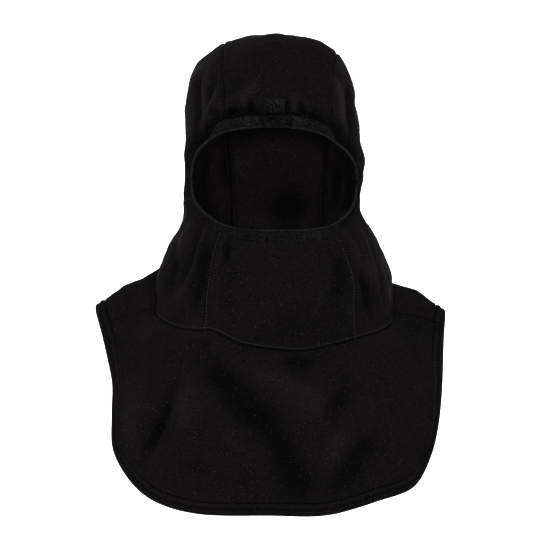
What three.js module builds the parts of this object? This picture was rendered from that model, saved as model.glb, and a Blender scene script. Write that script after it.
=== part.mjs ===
// Particulate hood: a double knit head cover with an elastic face opening and a shoulder bib, kept in its
// worn form. Millimetres, +Z up, -Y to the front. The origin is the inside of the crown, where a head
// carries the hood. Left and right are those of someone who looks at the hood from the front: left is -X.
import * as THREE from 'three';

// Cloth, tape and the gap that is kept between pieces sewn edge to edge
const fabricThickness = 2;
const tapeThickness = 1.6;
const seamGap = 0.3;

// Head part and neck, outside
const cowlHeight = 340;
const headWidth = 184;
const headFront = 106;
const headBack = 112;
const yokeWidth = 252;
const yokeFront = 130;
const yokeBack = 102;

// Face opening, inside its elastic
const faceWidth = 178;
const faceHeight = 108;
const faceDrop = 157.5;
const faceShift = 4.2;
const elasticWidth = 13.5;

// Pull loop over the middle of the elastic
const loopWidth = 22;
const loopRise = 17;
const loopOpening = 7;
const loopLean = 9;
const loopSwell = 0.3;
const loopBend = 0.7;

// Shoulder bib and its turned hem
const bibWidth = 378;
const bibFront = 142;
const bibBack = 136;
const bibDrop = 172;
const bibSwell = 12;
const hemWidth = 12.5;
const hemThickness = 4.2;

// Folds and the fullness that the elastic gathers
const foldDepth = 6;
const foldWidth = 12;
const gatherRise = 4.5;
const gatherReach = 15;
const gatherSpread = 10.5;
const tuckReach = 26;

// Seams, as angles around the face opening: 0 right, 90 top, 180 left, 270 bottom
const shoulderSeamRight = 3;
const crownSeamRight = 54;
const crownSeamLeft = 120;
const shoulderSeamLeft = 177;
const chinSeamLeft = 236.5;
const chinSeamRight = 308;

// Share by which the seams draw together over the crown
const crownDraw = 0.2;

// Level sections of the cowl from the crown down. drop is a share of cowlHeight. flare goes from the head's
// sizes, 0, to the yoke's, 1, and left, right, front and back are shares of them. square is the section's
// corner exponent.
const cowlSections = [
  { drop: 0.000, flare: 0.00, left: 0.000, right: 0.000, front: 0.000, back: 0.000, square: 2.0 },
  { drop: 0.0155, flare: 0.00, left: 0.440, right: 0.570, front: 0.420, back: 0.420, square: 2.0 },
  { drop: 0.064, flare: 0.00, left: 0.757, right: 0.800, front: 0.740, back: 0.755, square: 2.0 },
  { drop: 0.132, flare: 0.00, left: 0.925, right: 0.915, front: 0.910, back: 0.930, square: 2.1 },
  { drop: 0.226, flare: 0.00, left: 0.990, right: 0.995, front: 0.990, back: 1.000, square: 2.2 },
  { drop: 0.306, flare: 0.00, left: 1.005, right: 1.020, front: 1.005, back: 1.005, square: 2.3 },
  { drop: 0.406, flare: 0.00, left: 0.990, right: 1.060, front: 1.000, back: 0.970, square: 2.3 },
  { drop: 0.509, flare: 0.00, left: 1.005, right: 1.050, front: 0.970, back: 0.880, square: 2.3 },
  { drop: 0.559, flare: 0.05, left: 0.985, right: 1.040, front: 0.945, back: 0.820, square: 2.3 },
  { drop: 0.609, flare: 0.35, left: 0.935, right: 1.030, front: 0.870, back: 0.825, square: 2.3 },
  { drop: 0.662, flare: 0.60, left: 0.975, right: 1.040, front: 0.865, back: 0.840, square: 2.3 },
  { drop: 0.712, flare: 0.80, left: 0.975, right: 1.045, front: 0.880, back: 0.885, square: 2.3 },
  { drop: 0.776, flare: 1.00, left: 0.955, right: 1.040, front: 0.900, back: 0.940, square: 2.3 },
  { drop: 0.888, flare: 1.00, left: 0.968, right: 1.032, front: 0.965, back: 0.980, square: 2.3 },
  { drop: 1.000, flare: 1.00, left: 0.976, right: 1.032, front: 1.000, back: 1.000, square: 2.3 },
];

// Degrees by which the cloth turns on its way from the face opening to the yoke, by the angle around the
// opening
const clothTurns = [
  { around: -90, turn: 0 },
  { around: -52, turn: 4 },
  { around: 0, turn: 0 },
  { around: 54, turn: 6 },
  { around: 88, turn: 0 },
  { around: 118, turn: -6 },
  { around: 180, turn: 0 },
  { around: 236, turn: 0 },
];

// Corner exponents of the face opening, by the angle around it
const faceCorners = [
  { around: 45, square: 2.25 },
  { around: 135, square: 2.8 },
  { around: 225, square: 2.55 },
  { around: 315, square: 3.1 },
];

// Yoke seam, in degrees from the front centre to each side. left and right are its drops as shares of
// cowlHeight.
const yokeSpokes = [
  { from: 0, left: 0.992, right: 0.992 },
  { from: 15, left: 0.975, right: 0.998 },
  { from: 28, left: 0.937, right: 0.982 },
  { from: 38, left: 0.936, right: 0.967 },
  { from: 48, left: 0.929, right: 0.952 },
  { from: 58, left: 0.917, right: 0.941 },
  { from: 68, left: 0.905, right: 0.929 },
  { from: 78, left: 0.894, right: 0.917 },
  { from: 90, left: 0.884, right: 0.896 },
  { from: 102, left: 0.806, right: 0.832 },
  { from: 114, left: 0.742, right: 0.785 },
  { from: 126, left: 0.722, right: 0.766 },
  { from: 138, left: 0.718, right: 0.756 },
  { from: 148, left: 0.721, right: 0.750 },
  { from: 158, left: 0.728, right: 0.746 },
  { from: 168, left: 0.735, right: 0.741 },
  { from: 180, left: 0.740, right: 0.740 },
];

// Hem, in the same degrees. fall is its drop below the yoke seam as a share of bibDrop, out a share of half
// of bibWidth, depth a share of bibFront where it is negative and of bibBack where not, and swell a share of
// bibSwell.
const hemSpokes = [
  { from: 0, fallLeft: 1.018, fallRight: 1.018, outLeft: 0.000, outRight: 0.000, depth: -1.000, swell: 0.3 },
  { from: 15, fallLeft: 1.045, fallRight: 1.005, outLeft: 0.386, outRight: 0.320, depth: -0.958, swell: 0.3 },
  { from: 28, fallLeft: 1.055, fallRight: 0.950, outLeft: 0.630, outRight: 0.616, depth: -0.845, swell: 0.4 },
  { from: 38, fallLeft: 0.940, fallRight: 0.900, outLeft: 0.777, outRight: 0.806, depth: -0.746, swell: 0.5 },
  { from: 48, fallLeft: 0.760, fallRight: 0.750, outLeft: 0.884, outRight: 0.903, depth: -0.630, swell: 0.5 },
  { from: 58, fallLeft: 0.570, fallRight: 0.580, outLeft: 0.896, outRight: 0.949, depth: -0.535, swell: 0.4 },
  { from: 68, fallLeft: 0.400, fallRight: 0.390, outLeft: 0.896, outRight: 0.972, depth: -0.437, swell: 0.2 },
  { from: 78, fallLeft: 0.250, fallRight: 0.200, outLeft: 0.928, outRight: 0.981, depth: -0.310, swell: 0 },
  { from: 90, fallLeft: 0.120, fallRight: 0.090, outLeft: 0.963, outRight: 0.990, depth: -0.162, swell: 0.1 },
  { from: 102, fallLeft: 0.150, fallRight: 0.110, outLeft: 1.000, outRight: 1.003, depth: 0.010, swell: 0.25 },
  { from: 114, fallLeft: 0.240, fallRight: 0.190, outLeft: 1.005, outRight: 1.000, depth: 0.200, swell: 0.4 },
  { from: 126, fallLeft: 0.360, fallRight: 0.310, outLeft: 0.990, outRight: 0.988, depth: 0.390, swell: 0.5 },
  { from: 138, fallLeft: 0.630, fallRight: 0.560, outLeft: 0.935, outRight: 0.955, depth: 0.575, swell: 0.7 },
  { from: 148, fallLeft: 0.970, fallRight: 0.910, outLeft: 0.870, outRight: 0.890, depth: 0.735, swell: 0.8 },
  { from: 158, fallLeft: 1.290, fallRight: 1.260, outLeft: 0.740, outRight: 0.750, depth: 0.870, swell: 1 },
  { from: 168, fallLeft: 1.440, fallRight: 1.430, outLeft: 0.470, outRight: 0.470, depth: 0.955, swell: 1 },
  { from: 180, fallLeft: 1.480, fallRight: 1.480, outLeft: 0.000, outRight: 0.000, depth: 1.000, swell: 1 },
];

// Folds of the cowl, each down from an angle of its sections to another. bow bends its middle aside in
// degrees, the drops are shares of cowlHeight, rise is a share of foldDepth, below 0 for a valley, and width
// one of foldWidth.
const cowlFolds = [
  { start: -143, end: -144, bow: -14, top: 0.07, bottom: 0.34, rise: 0.70, width: 0.9 },
  { start: -143, end: -136, bow: 2, top: 0.11, bottom: 0.26, rise: 0.45, width: 0.7 },
  { start: -126, end: -134, bow: 0, top: 0.19, bottom: 0.25, rise: 0.50, width: 0.7 },
  { start: -43, end: -38, bow: 6, top: 0.13, bottom: 0.33, rise: 0.60, width: 0.9 },
  { start: -28, end: -31, bow: 0, top: 0.18, bottom: 0.32, rise: -0.60, width: 0.9 },
  { start: -22, end: -29, bow: 9, top: 0.06, bottom: 0.35, rise: 0.50, width: 0.9 },
  { start: -149, end: -168, bow: 6, top: 0.57, bottom: 0.76, rise: 0.80, width: 0.9 },
  { start: -131, end: -145, bow: 5, top: 0.60, bottom: 0.89, rise: 0.90, width: 0.9 },
  { start: -140, end: -156, bow: 4, top: 0.60, bottom: 0.88, rise: -0.80, width: 0.9 },
  { start: -112, end: -113, bow: 0, top: 0.66, bottom: 0.71, rise: -0.60, width: 0.9 },
  { start: -41, end: -35, bow: 0, top: 0.63, bottom: 0.79, rise: 0.70, width: 0.9 },
  { start: -29, end: -27, bow: -7, top: 0.59, bottom: 0.93, rise: 0.90, width: 0.9 },
  { start: -53, end: -54, bow: 0, top: 0.69, bottom: 0.85, rise: -0.80, width: 1.4 },
];

// Folds of the bib's front. start and end are shares of half of bibWidth, top and bottom drops below the
// yoke's lowest point as shares of bibDrop, rise and width as above.
const bibFolds = [
  { start: -0.33, end: 0.16, bow: -0.02, top: 0.06, bottom: 0.86, rise: -0.90, width: 2.0 },
  { start: 0.00, end: 0.30, bow: 0, top: 0.15, bottom: 0.40, rise: 0.70, width: 2.0 },
  { start: 0.55, end: 0.34, bow: 0, top: 0.54, bottom: 0.84, rise: -0.70, width: 1.6 },
  { start: -0.52, end: -0.73, bow: 0, top: 0.28, bottom: 0.66, rise: -0.60, width: 0.9 },
  { start: -0.40, end: -0.41, bow: 0, top: -0.04, bottom: 0.02, rise: -0.40, width: 0.9 },
  { start: 0.79, end: 0.90, bow: 0, top: -0.05, bottom: 0.14, rise: -0.60, width: 0.8 },
];

// Cells of the faceted walls: down the cowl, down the bib, and around each run between seams
const cowlRows = 15;
const bibRows = 9;
const seamRuns = [
  { from: shoulderSeamRight, to: crownSeamRight, cells: 12 },
  { from: crownSeamRight, to: crownSeamLeft, cells: 14 },
  { from: crownSeamLeft, to: shoulderSeamLeft, cells: 12 },
  { from: shoulderSeamLeft, to: chinSeamLeft, cells: 13 },
  { from: chinSeamLeft, to: chinSeamRight, cells: 16 },
  { from: chinSeamRight, to: shoulderSeamRight + 360, cells: 13 },
];

const degree = Math.PI / 180;
const mix = (a, b, t) => a + (b - a) * t;
const clamp = (value, low, high) => Math.min(Math.max(value, low), high);
const column = (rows, name) => rows.map(row => row[name]);

// Smooth step from 0 at one value to 1 at another
function ease(from, to, value) {
  const t = clamp((value - from) / (to - from), 0, 1);
  return t * t * (3 - 2 * t);
}

// Smooth curve through the rows of a table: cubic steps, each row's slope taken from its two neighbours
function curve(knots, values) {
  const last = knots.length - 1;
  const slope = row => {
    const before = Math.max(row - 1, 0);
    const after = Math.min(row + 1, last);
    return (values[after] - values[before]) / (knots[after] - knots[before]);
  };
  return at => {
    const above = knots.findIndex(knot => knot > at);
    const row = above < 0 ? last - 1 : Math.max(above - 1, 0);
    const span = knots[row + 1] - knots[row];
    const t = (at - knots[row]) / span;
    const start = values[row] * (1 + 2 * t) * (1 - t) ** 2 + slope(row) * span * t * (1 - t) ** 2;
    const end = values[row + 1] * t * t * (3 - 2 * t) + slope(row + 1) * span * t * t * (t - 1);
    return start + end;
  };
}

// The same curve for a table that runs once around, its rows repeated before and after one turn
function ringCurve(knots, values) {
  const turns = [-360, 0, 360];
  const allKnots = turns.flatMap(turn => knots.map(knot => knot + turn));
  const allValues = turns.flatMap(() => values);
  return curve(allKnots, allValues);
}

// Sections of the cowl in millimetres, with at, the share of the way from the crown to the lowest section.
// The way is measured mostly in plan, so that a straight line between two places runs over the crown as a
// straight seam does.
const wallShare = 0.35;
const sections = cowlSections.map(row => {
  const halfWidth = mix(headWidth, yokeWidth, row.flare) / 2;
  return {
    drop: row.drop * cowlHeight,
    left: row.left * halfWidth,
    right: row.right * halfWidth,
    front: row.front * mix(headFront, yokeFront, row.flare),
    back: row.back * mix(headBack, yokeBack, row.flare),
    square: row.square,
  };
});
let way = 0;
sections.forEach((row, index) => {
  const above = sections[Math.max(index - 1, 0)];
  const spread = (row.left + row.right - above.left - above.right) / 2;
  way += spread + wallShare * (row.drop - above.drop);
  row.at = way;
});
sections.forEach(row => {
  row.at /= way;
});

// Past the crown each section goes on as its mirror image, so that the crown is round
const first = sections[1];
const beyondCrown = {
  at: -first.at, drop: first.drop, left: -first.left, right: -first.right,
  front: -first.front, back: -first.back, square: first.square,
};
const cowlTable = [beyondCrown, ...sections];
const cowlCurve = name => curve(column(cowlTable, 'at'), column(cowlTable, name));
const sectionDrop = cowlCurve('drop');
const sectionLeft = cowlCurve('left');
const sectionRight = cowlCurve('right');
const sectionFront = cowlCurve('front');
const sectionBack = cowlCurve('back');
const sectionSquare = cowlCurve('square');

// Outside point of the cowl on the section at a share of the way, at an angle: 0 right, 90 back, 180 left,
// -90 front
function cowlPoint(at, angle) {
  const across = Math.cos(angle);
  const deep = Math.sin(angle);
  const square = sectionSquare(at);
  const reach = (Math.abs(across) ** square + Math.abs(deep) ** square) ** (-1 / square);
  const width = across < 0 ? sectionLeft(at) : sectionRight(at);
  const depth = deep < 0 ? sectionFront(at) : sectionBack(at);
  return new THREE.Vector3(width * reach * across, depth * reach * deep, fabricThickness - sectionDrop(at));
}

// Share of the way at which the cowl has a drop, by halving
function atDrop(drop) {
  let low = 0;
  let high = 1.1;
  for (let round = 0; round < 30; round += 1) {
    const middle = (low + high) / 2;
    if (sectionDrop(middle) < drop) {
      low = middle;
    } else {
      high = middle;
    }
  }
  return (low + high) / 2;
}

// Place on the cowl's front that is seen at x and a drop
const widestSeen = 0.985;
function frontPlace(x, drop) {
  const at = atDrop(drop);
  const square = sectionSquare(at);
  const share = Math.min(Math.abs(x) / (x < 0 ? sectionLeft(at) : sectionRight(at)), widestSeen);
  const depth = (1 - share ** square) ** (1 / square);
  return { at, drop, angle: Math.atan2(-depth, Math.sign(x) * share) };
}

// Place on the rim of the face opening, or outset from it along the cloth
const faceSquare = ringCurve(column(faceCorners, 'around'), column(faceCorners, 'square'));
function rimFront(around) {
  const across = Math.cos(around * degree);
  const up = Math.sin(around * degree);
  const square = faceSquare(around);
  const reach = (Math.abs(across) ** square + Math.abs(up) ** square) ** (-1 / square);
  return frontPlace(faceShift + faceWidth / 2 * reach * across, faceDrop - faceHeight / 2 * reach * up);
}

function rimPlace(around, outset) {
  const step = 1.5;
  const place = rimFront(around);
  const ahead = rimFront(around + step);
  const behind = rimFront(around - step);
  const here = cowlPoint(place.at, place.angle);
  const turned = cowlPoint(place.at, place.angle + degree);
  const radius = here.distanceTo(turned) / degree;
  const across = (ahead.angle - behind.angle) * radius;
  const down = ahead.drop - behind.drop;
  const length = Math.hypot(across, down);
  return {
    at: atDrop(place.drop + across / length * outset),
    angle: place.angle - down / length * outset / radius,
  };
}

// A place as a point of a flat disc, the crown at its middle, so that the cloth runs straight over the crown
const discPoint = place =>
  new THREE.Vector2(place.at * Math.cos(place.angle), place.at * Math.sin(place.angle));

// Curve once around, by the section angle, through a table's rows for the left and the right half
function spokeCurve(rows, left, right) {
  const leftRows = rows.slice(1).reverse();
  const rightRows = rows.slice(0, -1);
  const angles = [...leftRows.map(row => -90 - row.from), ...rightRows.map(row => -90 + row.from)];
  return ringCurve(angles, [...leftRows.map(left), ...rightRows.map(right)]);
}
const reachBack = row => row.depth * (row.depth < 0 ? bibFront : bibBack);
const yokeDrop = spokeCurve(yokeSpokes, row => row.left * cowlHeight, row => row.right * cowlHeight);
const hemFall = spokeCurve(hemSpokes, row => row.fallLeft * bibDrop, row => row.fallRight * bibDrop);
const hemAcross = spokeCurve(hemSpokes, row => -row.outLeft * bibWidth / 2, row => row.outRight * bibWidth / 2);
const hemDepth = spokeCurve(hemSpokes, reachBack, reachBack);
const swellOut = spokeCurve(hemSpokes, row => row.swell * bibSwell, row => row.swell * bibSwell);

// Section angle at which the cloth that leaves the face opening at an angle reaches the yoke and the hem
const clothTurn = ringCurve(column(clothTurns, 'around'), column(clothTurns, 'turn'));
const ringAngle = around => (around > 180 ? around - 360 : around) + clothTurn(around);

function yokePlace(around) {
  const angle = ringAngle(around);
  return { at: atDrop(yokeDrop(angle)), angle: angle * degree };
}

// The elastic lies flat on the brow and under the chin, and stands edge on to the front at the corners and
// the sides
const flatAbove = 0.86;
const edgeOnBelow = 0.66;
function elasticStrip(around) {
  const surface = outset => {
    const place = rimPlace(around, outset);
    return cowlPoint(place.at, place.angle);
  };
  const rim = surface(0);
  const lay = surface(elasticWidth).sub(rim).normalize();
  const edgeOn = 1 - ease(edgeOnBelow, flatAbove, Math.abs(Math.sin(around * degree)));
  const direction = lay.lerp(new THREE.Vector3(0, 1, 0), edgeOn).normalize();
  return { rim, direction };
}

// Place at a share of a straight line over the cloth from the elastic to the yoke seam, drawn together at
// the crown
function straightPlace(edge, around, share) {
  const spot = edge.face.clone().lerp(edge.yoke, share);
  spot.x *= 1 - crownDraw * 4 * share * (1 - share) * Math.max(Math.sin(around * degree), 0);
  return { at: spot.length(), angle: Math.atan2(spot.y, spot.x) };
}

// Edges of the cloth at an angle around the face opening, the length between them and the share at each
// length
const lengthSteps = 24;
const cowlEdges = new Map();
function cowlEdge(around) {
  if (!cowlEdges.has(around)) {
    const place = rimPlace(around, elasticWidth + seamGap);
    const { rim, direction } = elasticStrip(around);
    const tuck = rim.addScaledVector(direction, elasticWidth + seamGap).sub(cowlPoint(place.at, place.angle));
    const edge = { face: discPoint(place), yoke: discPoint(yokePlace(around)), tuck };
    const shares = Array.from({ length: lengthSteps + 1 }, (_, step) => step / lengthSteps);
    const spots = shares.map(share => straightPlace(edge, around, share));
    const points = spots.map(spot => cowlPoint(spot.at, spot.angle));
    const lengths = [0];
    points.slice(1).forEach((point, step) => lengths.push(lengths[step] + point.distanceTo(points[step])));
    edge.length = lengths[lengthSteps];
    edge.shareAt = curve(lengths, shares);
    cowlEdges.set(around, edge);
  }
  return cowlEdges.get(around);
}

// Place of the cloth between the elastic, down 0, and the yoke seam, 1, and its distance from the elastic
function cowlPlace(around, down) {
  const edge = cowlEdge(around);
  const fromElastic = down * edge.length;
  const place = straightPlace(edge, around, edge.shareAt(fromElastic));
  return { ...place, tuck: edge.tuck, fromElastic };
}

// Unfolded cloth: down is 0 at the elastic, 1 at the yoke seam and 2 at the hem's edge
function smoothPoint(around, down) {
  if (down <= 1) {
    const place = cowlPlace(around, down);
    const tucked = 1 - ease(0, tuckReach, place.fromElastic);
    return cowlPoint(place.at, place.angle).addScaledVector(place.tuck, tucked);
  }
  const share = down - 1;
  const angle = ringAngle(around);
  const yoke = yokePlace(around);
  const top = cowlPoint(yoke.at, yoke.angle);
  const hem = new THREE.Vector3(hemAcross(angle), hemDepth(angle), top.z - hemFall(angle));
  const swell = 4 * share * (1 - share) * swellOut(angle);
  const outAndUp = new THREE.Vector3(Math.cos(yoke.angle), Math.sin(yoke.angle), 1);
  return top.lerp(hem, share).addScaledVector(outAndUp, swell);
}

// Height of one fold, by the distance across it and past its ends
function foldRise(fold, across, past) {
  const width = fold.width * foldWidth;
  return fold.rise * foldDepth * Math.exp(-((across / width) ** 2) - (past / foldWidth) ** 2);
}

function foldAlong(fold, level) {
  const along = clamp((level - fold.top) / (fold.bottom - fold.top), 0, 1);
  const line = mix(fold.start, fold.end, along) + fold.bow * 4 * along * (1 - along);
  return { line, past: level - clamp(level, fold.top, fold.bottom) };
}

// Fullness above and beside the elastic, flat under the pull loop, from none low at the sides to all over
// the brow
const gatherNone = -0.6;
const gatherAll = 0.7;
function gatherHeight(around, fromElastic, x) {
  const above = ease(gatherNone, gatherAll, Math.sin(around * degree));
  const byLoop = around < 180 ? Math.exp(-(((x - faceShift) / loopWidth) ** 4)) : 0;
  const profile = Math.exp(-(((fromElastic - gatherReach) / gatherSpread) ** 2));
  return gatherRise * above * profile * (1 - byLoop);
}

// Height of the folds and gathers, which die out towards the seams and the hem
const flatBySeam = 0.11;
const flatByHem = 0.14;
function liftHeight(around, down, point) {
  if (down > 1) {
    if (point.y > 0) {
      return 0;
    }
    const level = (fabricThickness - cowlHeight - point.z) / bibDrop;
    const heights = bibFolds.map(fold => {
      const { line, past } = foldAlong(fold, level);
      return foldRise(fold, point.x - line * bibWidth / 2, past * bibDrop);
    });
    const fading = ease(1, 1 + flatBySeam, down) * ease(2, 2 - flatByHem, down);
    return fading * heights.reduce((sum, height) => sum + height, 0);
  }
  const place = cowlPlace(around, down);
  const level = sectionDrop(place.at) / cowlHeight;
  const heights = cowlFolds.map(fold => {
    const { line, past } = foldAlong(fold, level);
    const turn = place.angle - line * degree;
    return foldRise(fold, Math.atan2(Math.sin(turn), Math.cos(turn)) * headWidth / 2, past * cowlHeight);
  });
  const gathers = gatherHeight(around, place.fromElastic, point.x);
  const folds = heights.reduce((sum, height) => sum + height, gathers);
  return ease(0, flatBySeam, down) * ease(1, 1 - flatBySeam, down) * folds;
}

// Direction out of a surface, from its points a small step to either side
const stepAround = 0.6;
const stepDown = 0.012;
function outward(surface, around, down) {
  const aside = surface(around + stepAround, down).sub(surface(around - stepAround, down));
  const below = surface(around, down + stepDown).sub(surface(around, down - stepDown));
  return below.cross(aside).normalize();
}

function clothPoint(around, down) {
  const point = smoothPoint(around, down);
  const height = liftHeight(around, down, point);
  return height === 0 ? point : point.addScaledVector(outward(smoothPoint, around, down), height);
}

// Makes one closed body of a list of points and rings of faces, turned so that its faces point out
function closedBody(points, faces) {
  const volume = faces.reduce((sum, [a, b, c]) => {
    const normal = points[b].clone().cross(points[c]);
    return sum + points[a].dot(normal);
  }, 0);
  const turned = volume < 0 ? faces.map(([a, b, c]) => [a, c, b]) : faces;
  const geometry = new THREE.BufferGeometry();
  const positions = points.flatMap(point => [point.x, point.y, point.z]);
  geometry.setAttribute('position', new THREE.Float32BufferAttribute(positions, 3));
  geometry.setIndex(turned.flat());
  geometry.computeVertexNormals();
  return geometry;
}

// Angles around of every column of cells from one seam to another
function columnsBetween(from, to) {
  const nextTurn = seamRuns.map(run => ({ from: run.from + 360, to: run.to + 360, cells: run.cells }));
  const runs = [...seamRuns, ...nextTurn];
  const inside = runs.filter(run => run.from >= from && run.to <= to);
  const angles = inside.flatMap(run =>
    Array.from({ length: run.cells }, (_, cell) => mix(run.from, run.to, cell / run.cells)));
  return [...angles, to];
}

// Draws one edge of a skin in by half a seam gap, square to the edge
function drawIn(edge, inside) {
  const places = edge.map(point => point.clone());
  edge.forEach((point, index) => {
    const before = places[Math.max(index - 1, 0)];
    const after = places[Math.min(index + 1, places.length - 1)];
    const along = after.clone().sub(before).normalize();
    const inwards = inside[index].clone().sub(point);
    inwards.addScaledVector(along, -inwards.dot(along)).normalize();
    point.addScaledVector(inwards, seamGap / 2);
  });
}

// Direction out of the cloth, which is the elastic's own where they meet
const clothOut = (around, down) =>
  (down === 0 ? elasticOut(around, elasticWidth) : outward(clothPoint, around, down));

// Cloth wall over a grid of places: an outer and an inner skin, closed along its four edges
function clothWall(arounds, downsAt) {
  const outer = arounds.map(around => downsAt(around).map(down => clothPoint(around, down)));
  const inner = arounds.map((around, column) => downsAt(around).map((down, row) => {
    return outer[column][row].clone().addScaledVector(clothOut(around, down), -fabricThickness);
  }));
  [outer, inner].forEach(skin => {
    const line = row => skin.map(points => points[row]);
    const lastRow = skin[0].length - 1;
    const lastColumn = skin.length - 1;
    drawIn(line(0), line(1));
    drawIn(line(lastRow), line(lastRow - 1));
    drawIn(skin[0], skin[1]);
    drawIn(skin[lastColumn], skin[lastColumn - 1]);
  });
  const columns = arounds.length;
  const rows = outer[0].length;
  const at = (skin, col, row) => skin * columns * rows + col * rows + row;
  const faces = [];
  const quad = (a, b, c, d) => faces.push([a, b, c], [a, c, d]);
  for (let col = 0; col < columns - 1; col += 1) {
    for (let row = 0; row < rows - 1; row += 1) {
      quad(at(0, col, row), at(0, col + 1, row), at(0, col + 1, row + 1), at(0, col, row + 1));
      quad(at(1, col, row), at(1, col, row + 1), at(1, col + 1, row + 1), at(1, col + 1, row));
    }
    quad(at(0, col, 0), at(1, col, 0), at(1, col + 1, 0), at(0, col + 1, 0));
    quad(at(0, col, rows - 1), at(0, col + 1, rows - 1), at(1, col + 1, rows - 1), at(1, col, rows - 1));
  }
  const end = columns - 1;
  for (let row = 0; row < rows - 1; row += 1) {
    quad(at(0, 0, row), at(0, 0, row + 1), at(1, 0, row + 1), at(1, 0, row));
    quad(at(0, end, row), at(1, end, row), at(1, end, row + 1), at(0, end, row + 1));
  }
  return closedBody([...outer.flat(), ...inner.flat()], faces);
}

// Ring lofted through one closed section of points at each angle around
function loftedRing(arounds, sectionAt) {
  const loops = arounds.map(sectionAt);
  const size = loops[0].length;
  const faces = [];
  loops.forEach((_, loop) => {
    const next = (loop + 1) % loops.length;
    for (let corner = 0; corner < size; corner += 1) {
      const after = (corner + 1) % size;
      const near = [loop * size + corner, loop * size + after];
      const far = [next * size + corner, next * size + after];
      faces.push([near[0], far[0], far[1]], [near[0], far[1], near[1]]);
    }
  });
  return closedBody(loops.flat(), faces);
}

const wholeTurn = columnsBetween(shoulderSeamRight, shoulderSeamRight + 360).slice(0, -1);

// Cloth panels between the elastic and the yoke seam, with shorter rows where the elastic gathers them
const rowCrowding = 1.4;
const cowlDowns = Array.from({ length: cowlRows + 1 }, (_, row) => (row / cowlRows) ** rowCrowding);
const cowlPanel = (from, to) => clothWall(columnsBetween(from, to), () => cowlDowns);

// Bib halves, from the yoke seam to the turned hem
function hemStart(around) {
  const edge = smoothPoint(around, 2);
  const line = smoothPoint(around, 1).sub(edge);
  const along = smoothPoint(around + stepAround, 2).sub(smoothPoint(around - stepAround, 2)).normalize();
  const square = line.clone().cross(along).length();
  return 2 - hemWidth / square;
}
const bibDowns = around =>
  Array.from({ length: bibRows + 1 }, (_, row) => mix(1, hemStart(around), row / bibRows));
const bibHalf = (from, to) => clothWall(columnsBetween(from, to), bibDowns);

// Turned hem: the cloth's edge doubled, with a rounded outer edge
function hemSection(around) {
  const start = hemStart(around);
  const rounding = hemThickness / 2 / hemWidth;
  const spots = [
    { share: seamGap / hemWidth, half: 0.5 },
    { share: 1 - rounding, half: 0.5 },
    { share: 1, half: 0.2 },
  ];
  const at = (spot, side) => {
    const down = mix(start, 2, spot.share);
    const out = outward(clothPoint, around, down);
    const height = side * spot.half * hemThickness - fabricThickness / 2;
    return clothPoint(around, down).addScaledVector(out, height);
  };
  return [...spots.map(spot => at(spot, 1)), ...spots.reverse().map(spot => at(spot, -1))];
}

// Elastic of the face opening: a flat tape, its inner edge rounded
function elasticPoint(around, outset) {
  const { rim, direction } = elasticStrip(around);
  return rim.addScaledVector(direction, outset);
}

function elasticOut(around, outset) {
  const aside = elasticPoint(around + stepAround, outset).sub(elasticPoint(around - stepAround, outset));
  return elasticStrip(around).direction.cross(aside).normalize();
}

function elasticSection(around) {
  const spots = [
    { outset: 0, half: 0.2 },
    { outset: tapeThickness, half: 0.5 },
    { outset: elasticWidth, half: 0.5 },
  ];
  const at = (spot, side) => {
    const height = (side * spot.half * 2 - 1) * tapeThickness;
    return elasticPoint(around, spot.outset).addScaledVector(elasticOut(around, spot.outset), height);
  };
  return [...spots.map(spot => at(spot, 1)), ...spots.reverse().map(spot => at(spot, -1))];
}

// Pull loop: a doubled tape sewn flat to the elastic, open above it and leaning forward
function pullLoop() {
  const sewn = elasticWidth;
  const depth = loopOpening + 2 * tapeThickness;
  const shoulder = sewn + loopRise * loopBend;
  const top = sewn + loopRise;
  const lean = (x, y) => [x + Math.tan(loopLean * degree) * Math.max(y - sewn, 0), y];
  const outline = new THREE.Shape();
  outline.moveTo(0, 0);
  outline.lineTo(2 * tapeThickness, 0);
  outline.lineTo(2 * tapeThickness, sewn);
  outline.quadraticCurveTo(...lean(depth, sewn + loopRise * loopSwell), ...lean(depth, shoulder));
  outline.quadraticCurveTo(...lean(depth, top), ...lean(depth / 2, top));
  outline.quadraticCurveTo(...lean(0, top), ...lean(0, shoulder));
  outline.lineTo(0, sewn);
  outline.lineTo(0, 0);
  const low = sewn + tapeThickness;
  const ceiling = top - tapeThickness;
  const near = tapeThickness;
  const far = depth - tapeThickness;
  const crease = seamGap * 3;
  const gap = new THREE.Path();
  gap.moveTo(...lean(near, low));
  gap.lineTo(...lean(near, shoulder));
  gap.quadraticCurveTo(...lean(near, ceiling), ...lean(depth / 2, ceiling));
  gap.quadraticCurveTo(...lean(far, ceiling), ...lean(far, shoulder));
  gap.quadraticCurveTo(...lean(far, low + loopRise * loopSwell), ...lean(near + crease, low));
  gap.lineTo(...lean(near, low));
  outline.holes.push(gap);
  const body = new THREE.ExtrudeGeometry(outline, { depth: loopWidth, bevelEnabled: false, curveSegments: 4 });
  body.translate(0, 0, -loopWidth / 2);
  return body;
}

// The loop's frame: its width along X, its outline's x out of the elastic and its y up along it
function seatLoop(mesh) {
  const top = 90;
  const out = elasticOut(top, elasticWidth / 2).setX(0).normalize();
  const across = new THREE.Vector3(-1, 0, 0);
  const up = across.clone().cross(out);
  const foot = elasticPoint(top, 0).setX(faceShift);
  foot.addScaledVector(out, seamGap);
  const frame = new THREE.Matrix4().makeBasis(out, up, across);
  mesh.quaternion.setFromRotationMatrix(frame);
  mesh.position.copy(foot);
}

// Finishes
const knit = new THREE.MeshStandardMaterial({ color: 0x171615, roughness: 0.95, metalness: 0 });
const tape = new THREE.MeshStandardMaterial({ color: 0x1c1c1e, roughness: 0.8, metalness: 0 });

const hood = new THREE.Group();
function addPiece(name, geometry, material) {
  const mesh = new THREE.Mesh(geometry, material);
  mesh.name = name;
  hood.add(mesh);
  return mesh;
}

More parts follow.
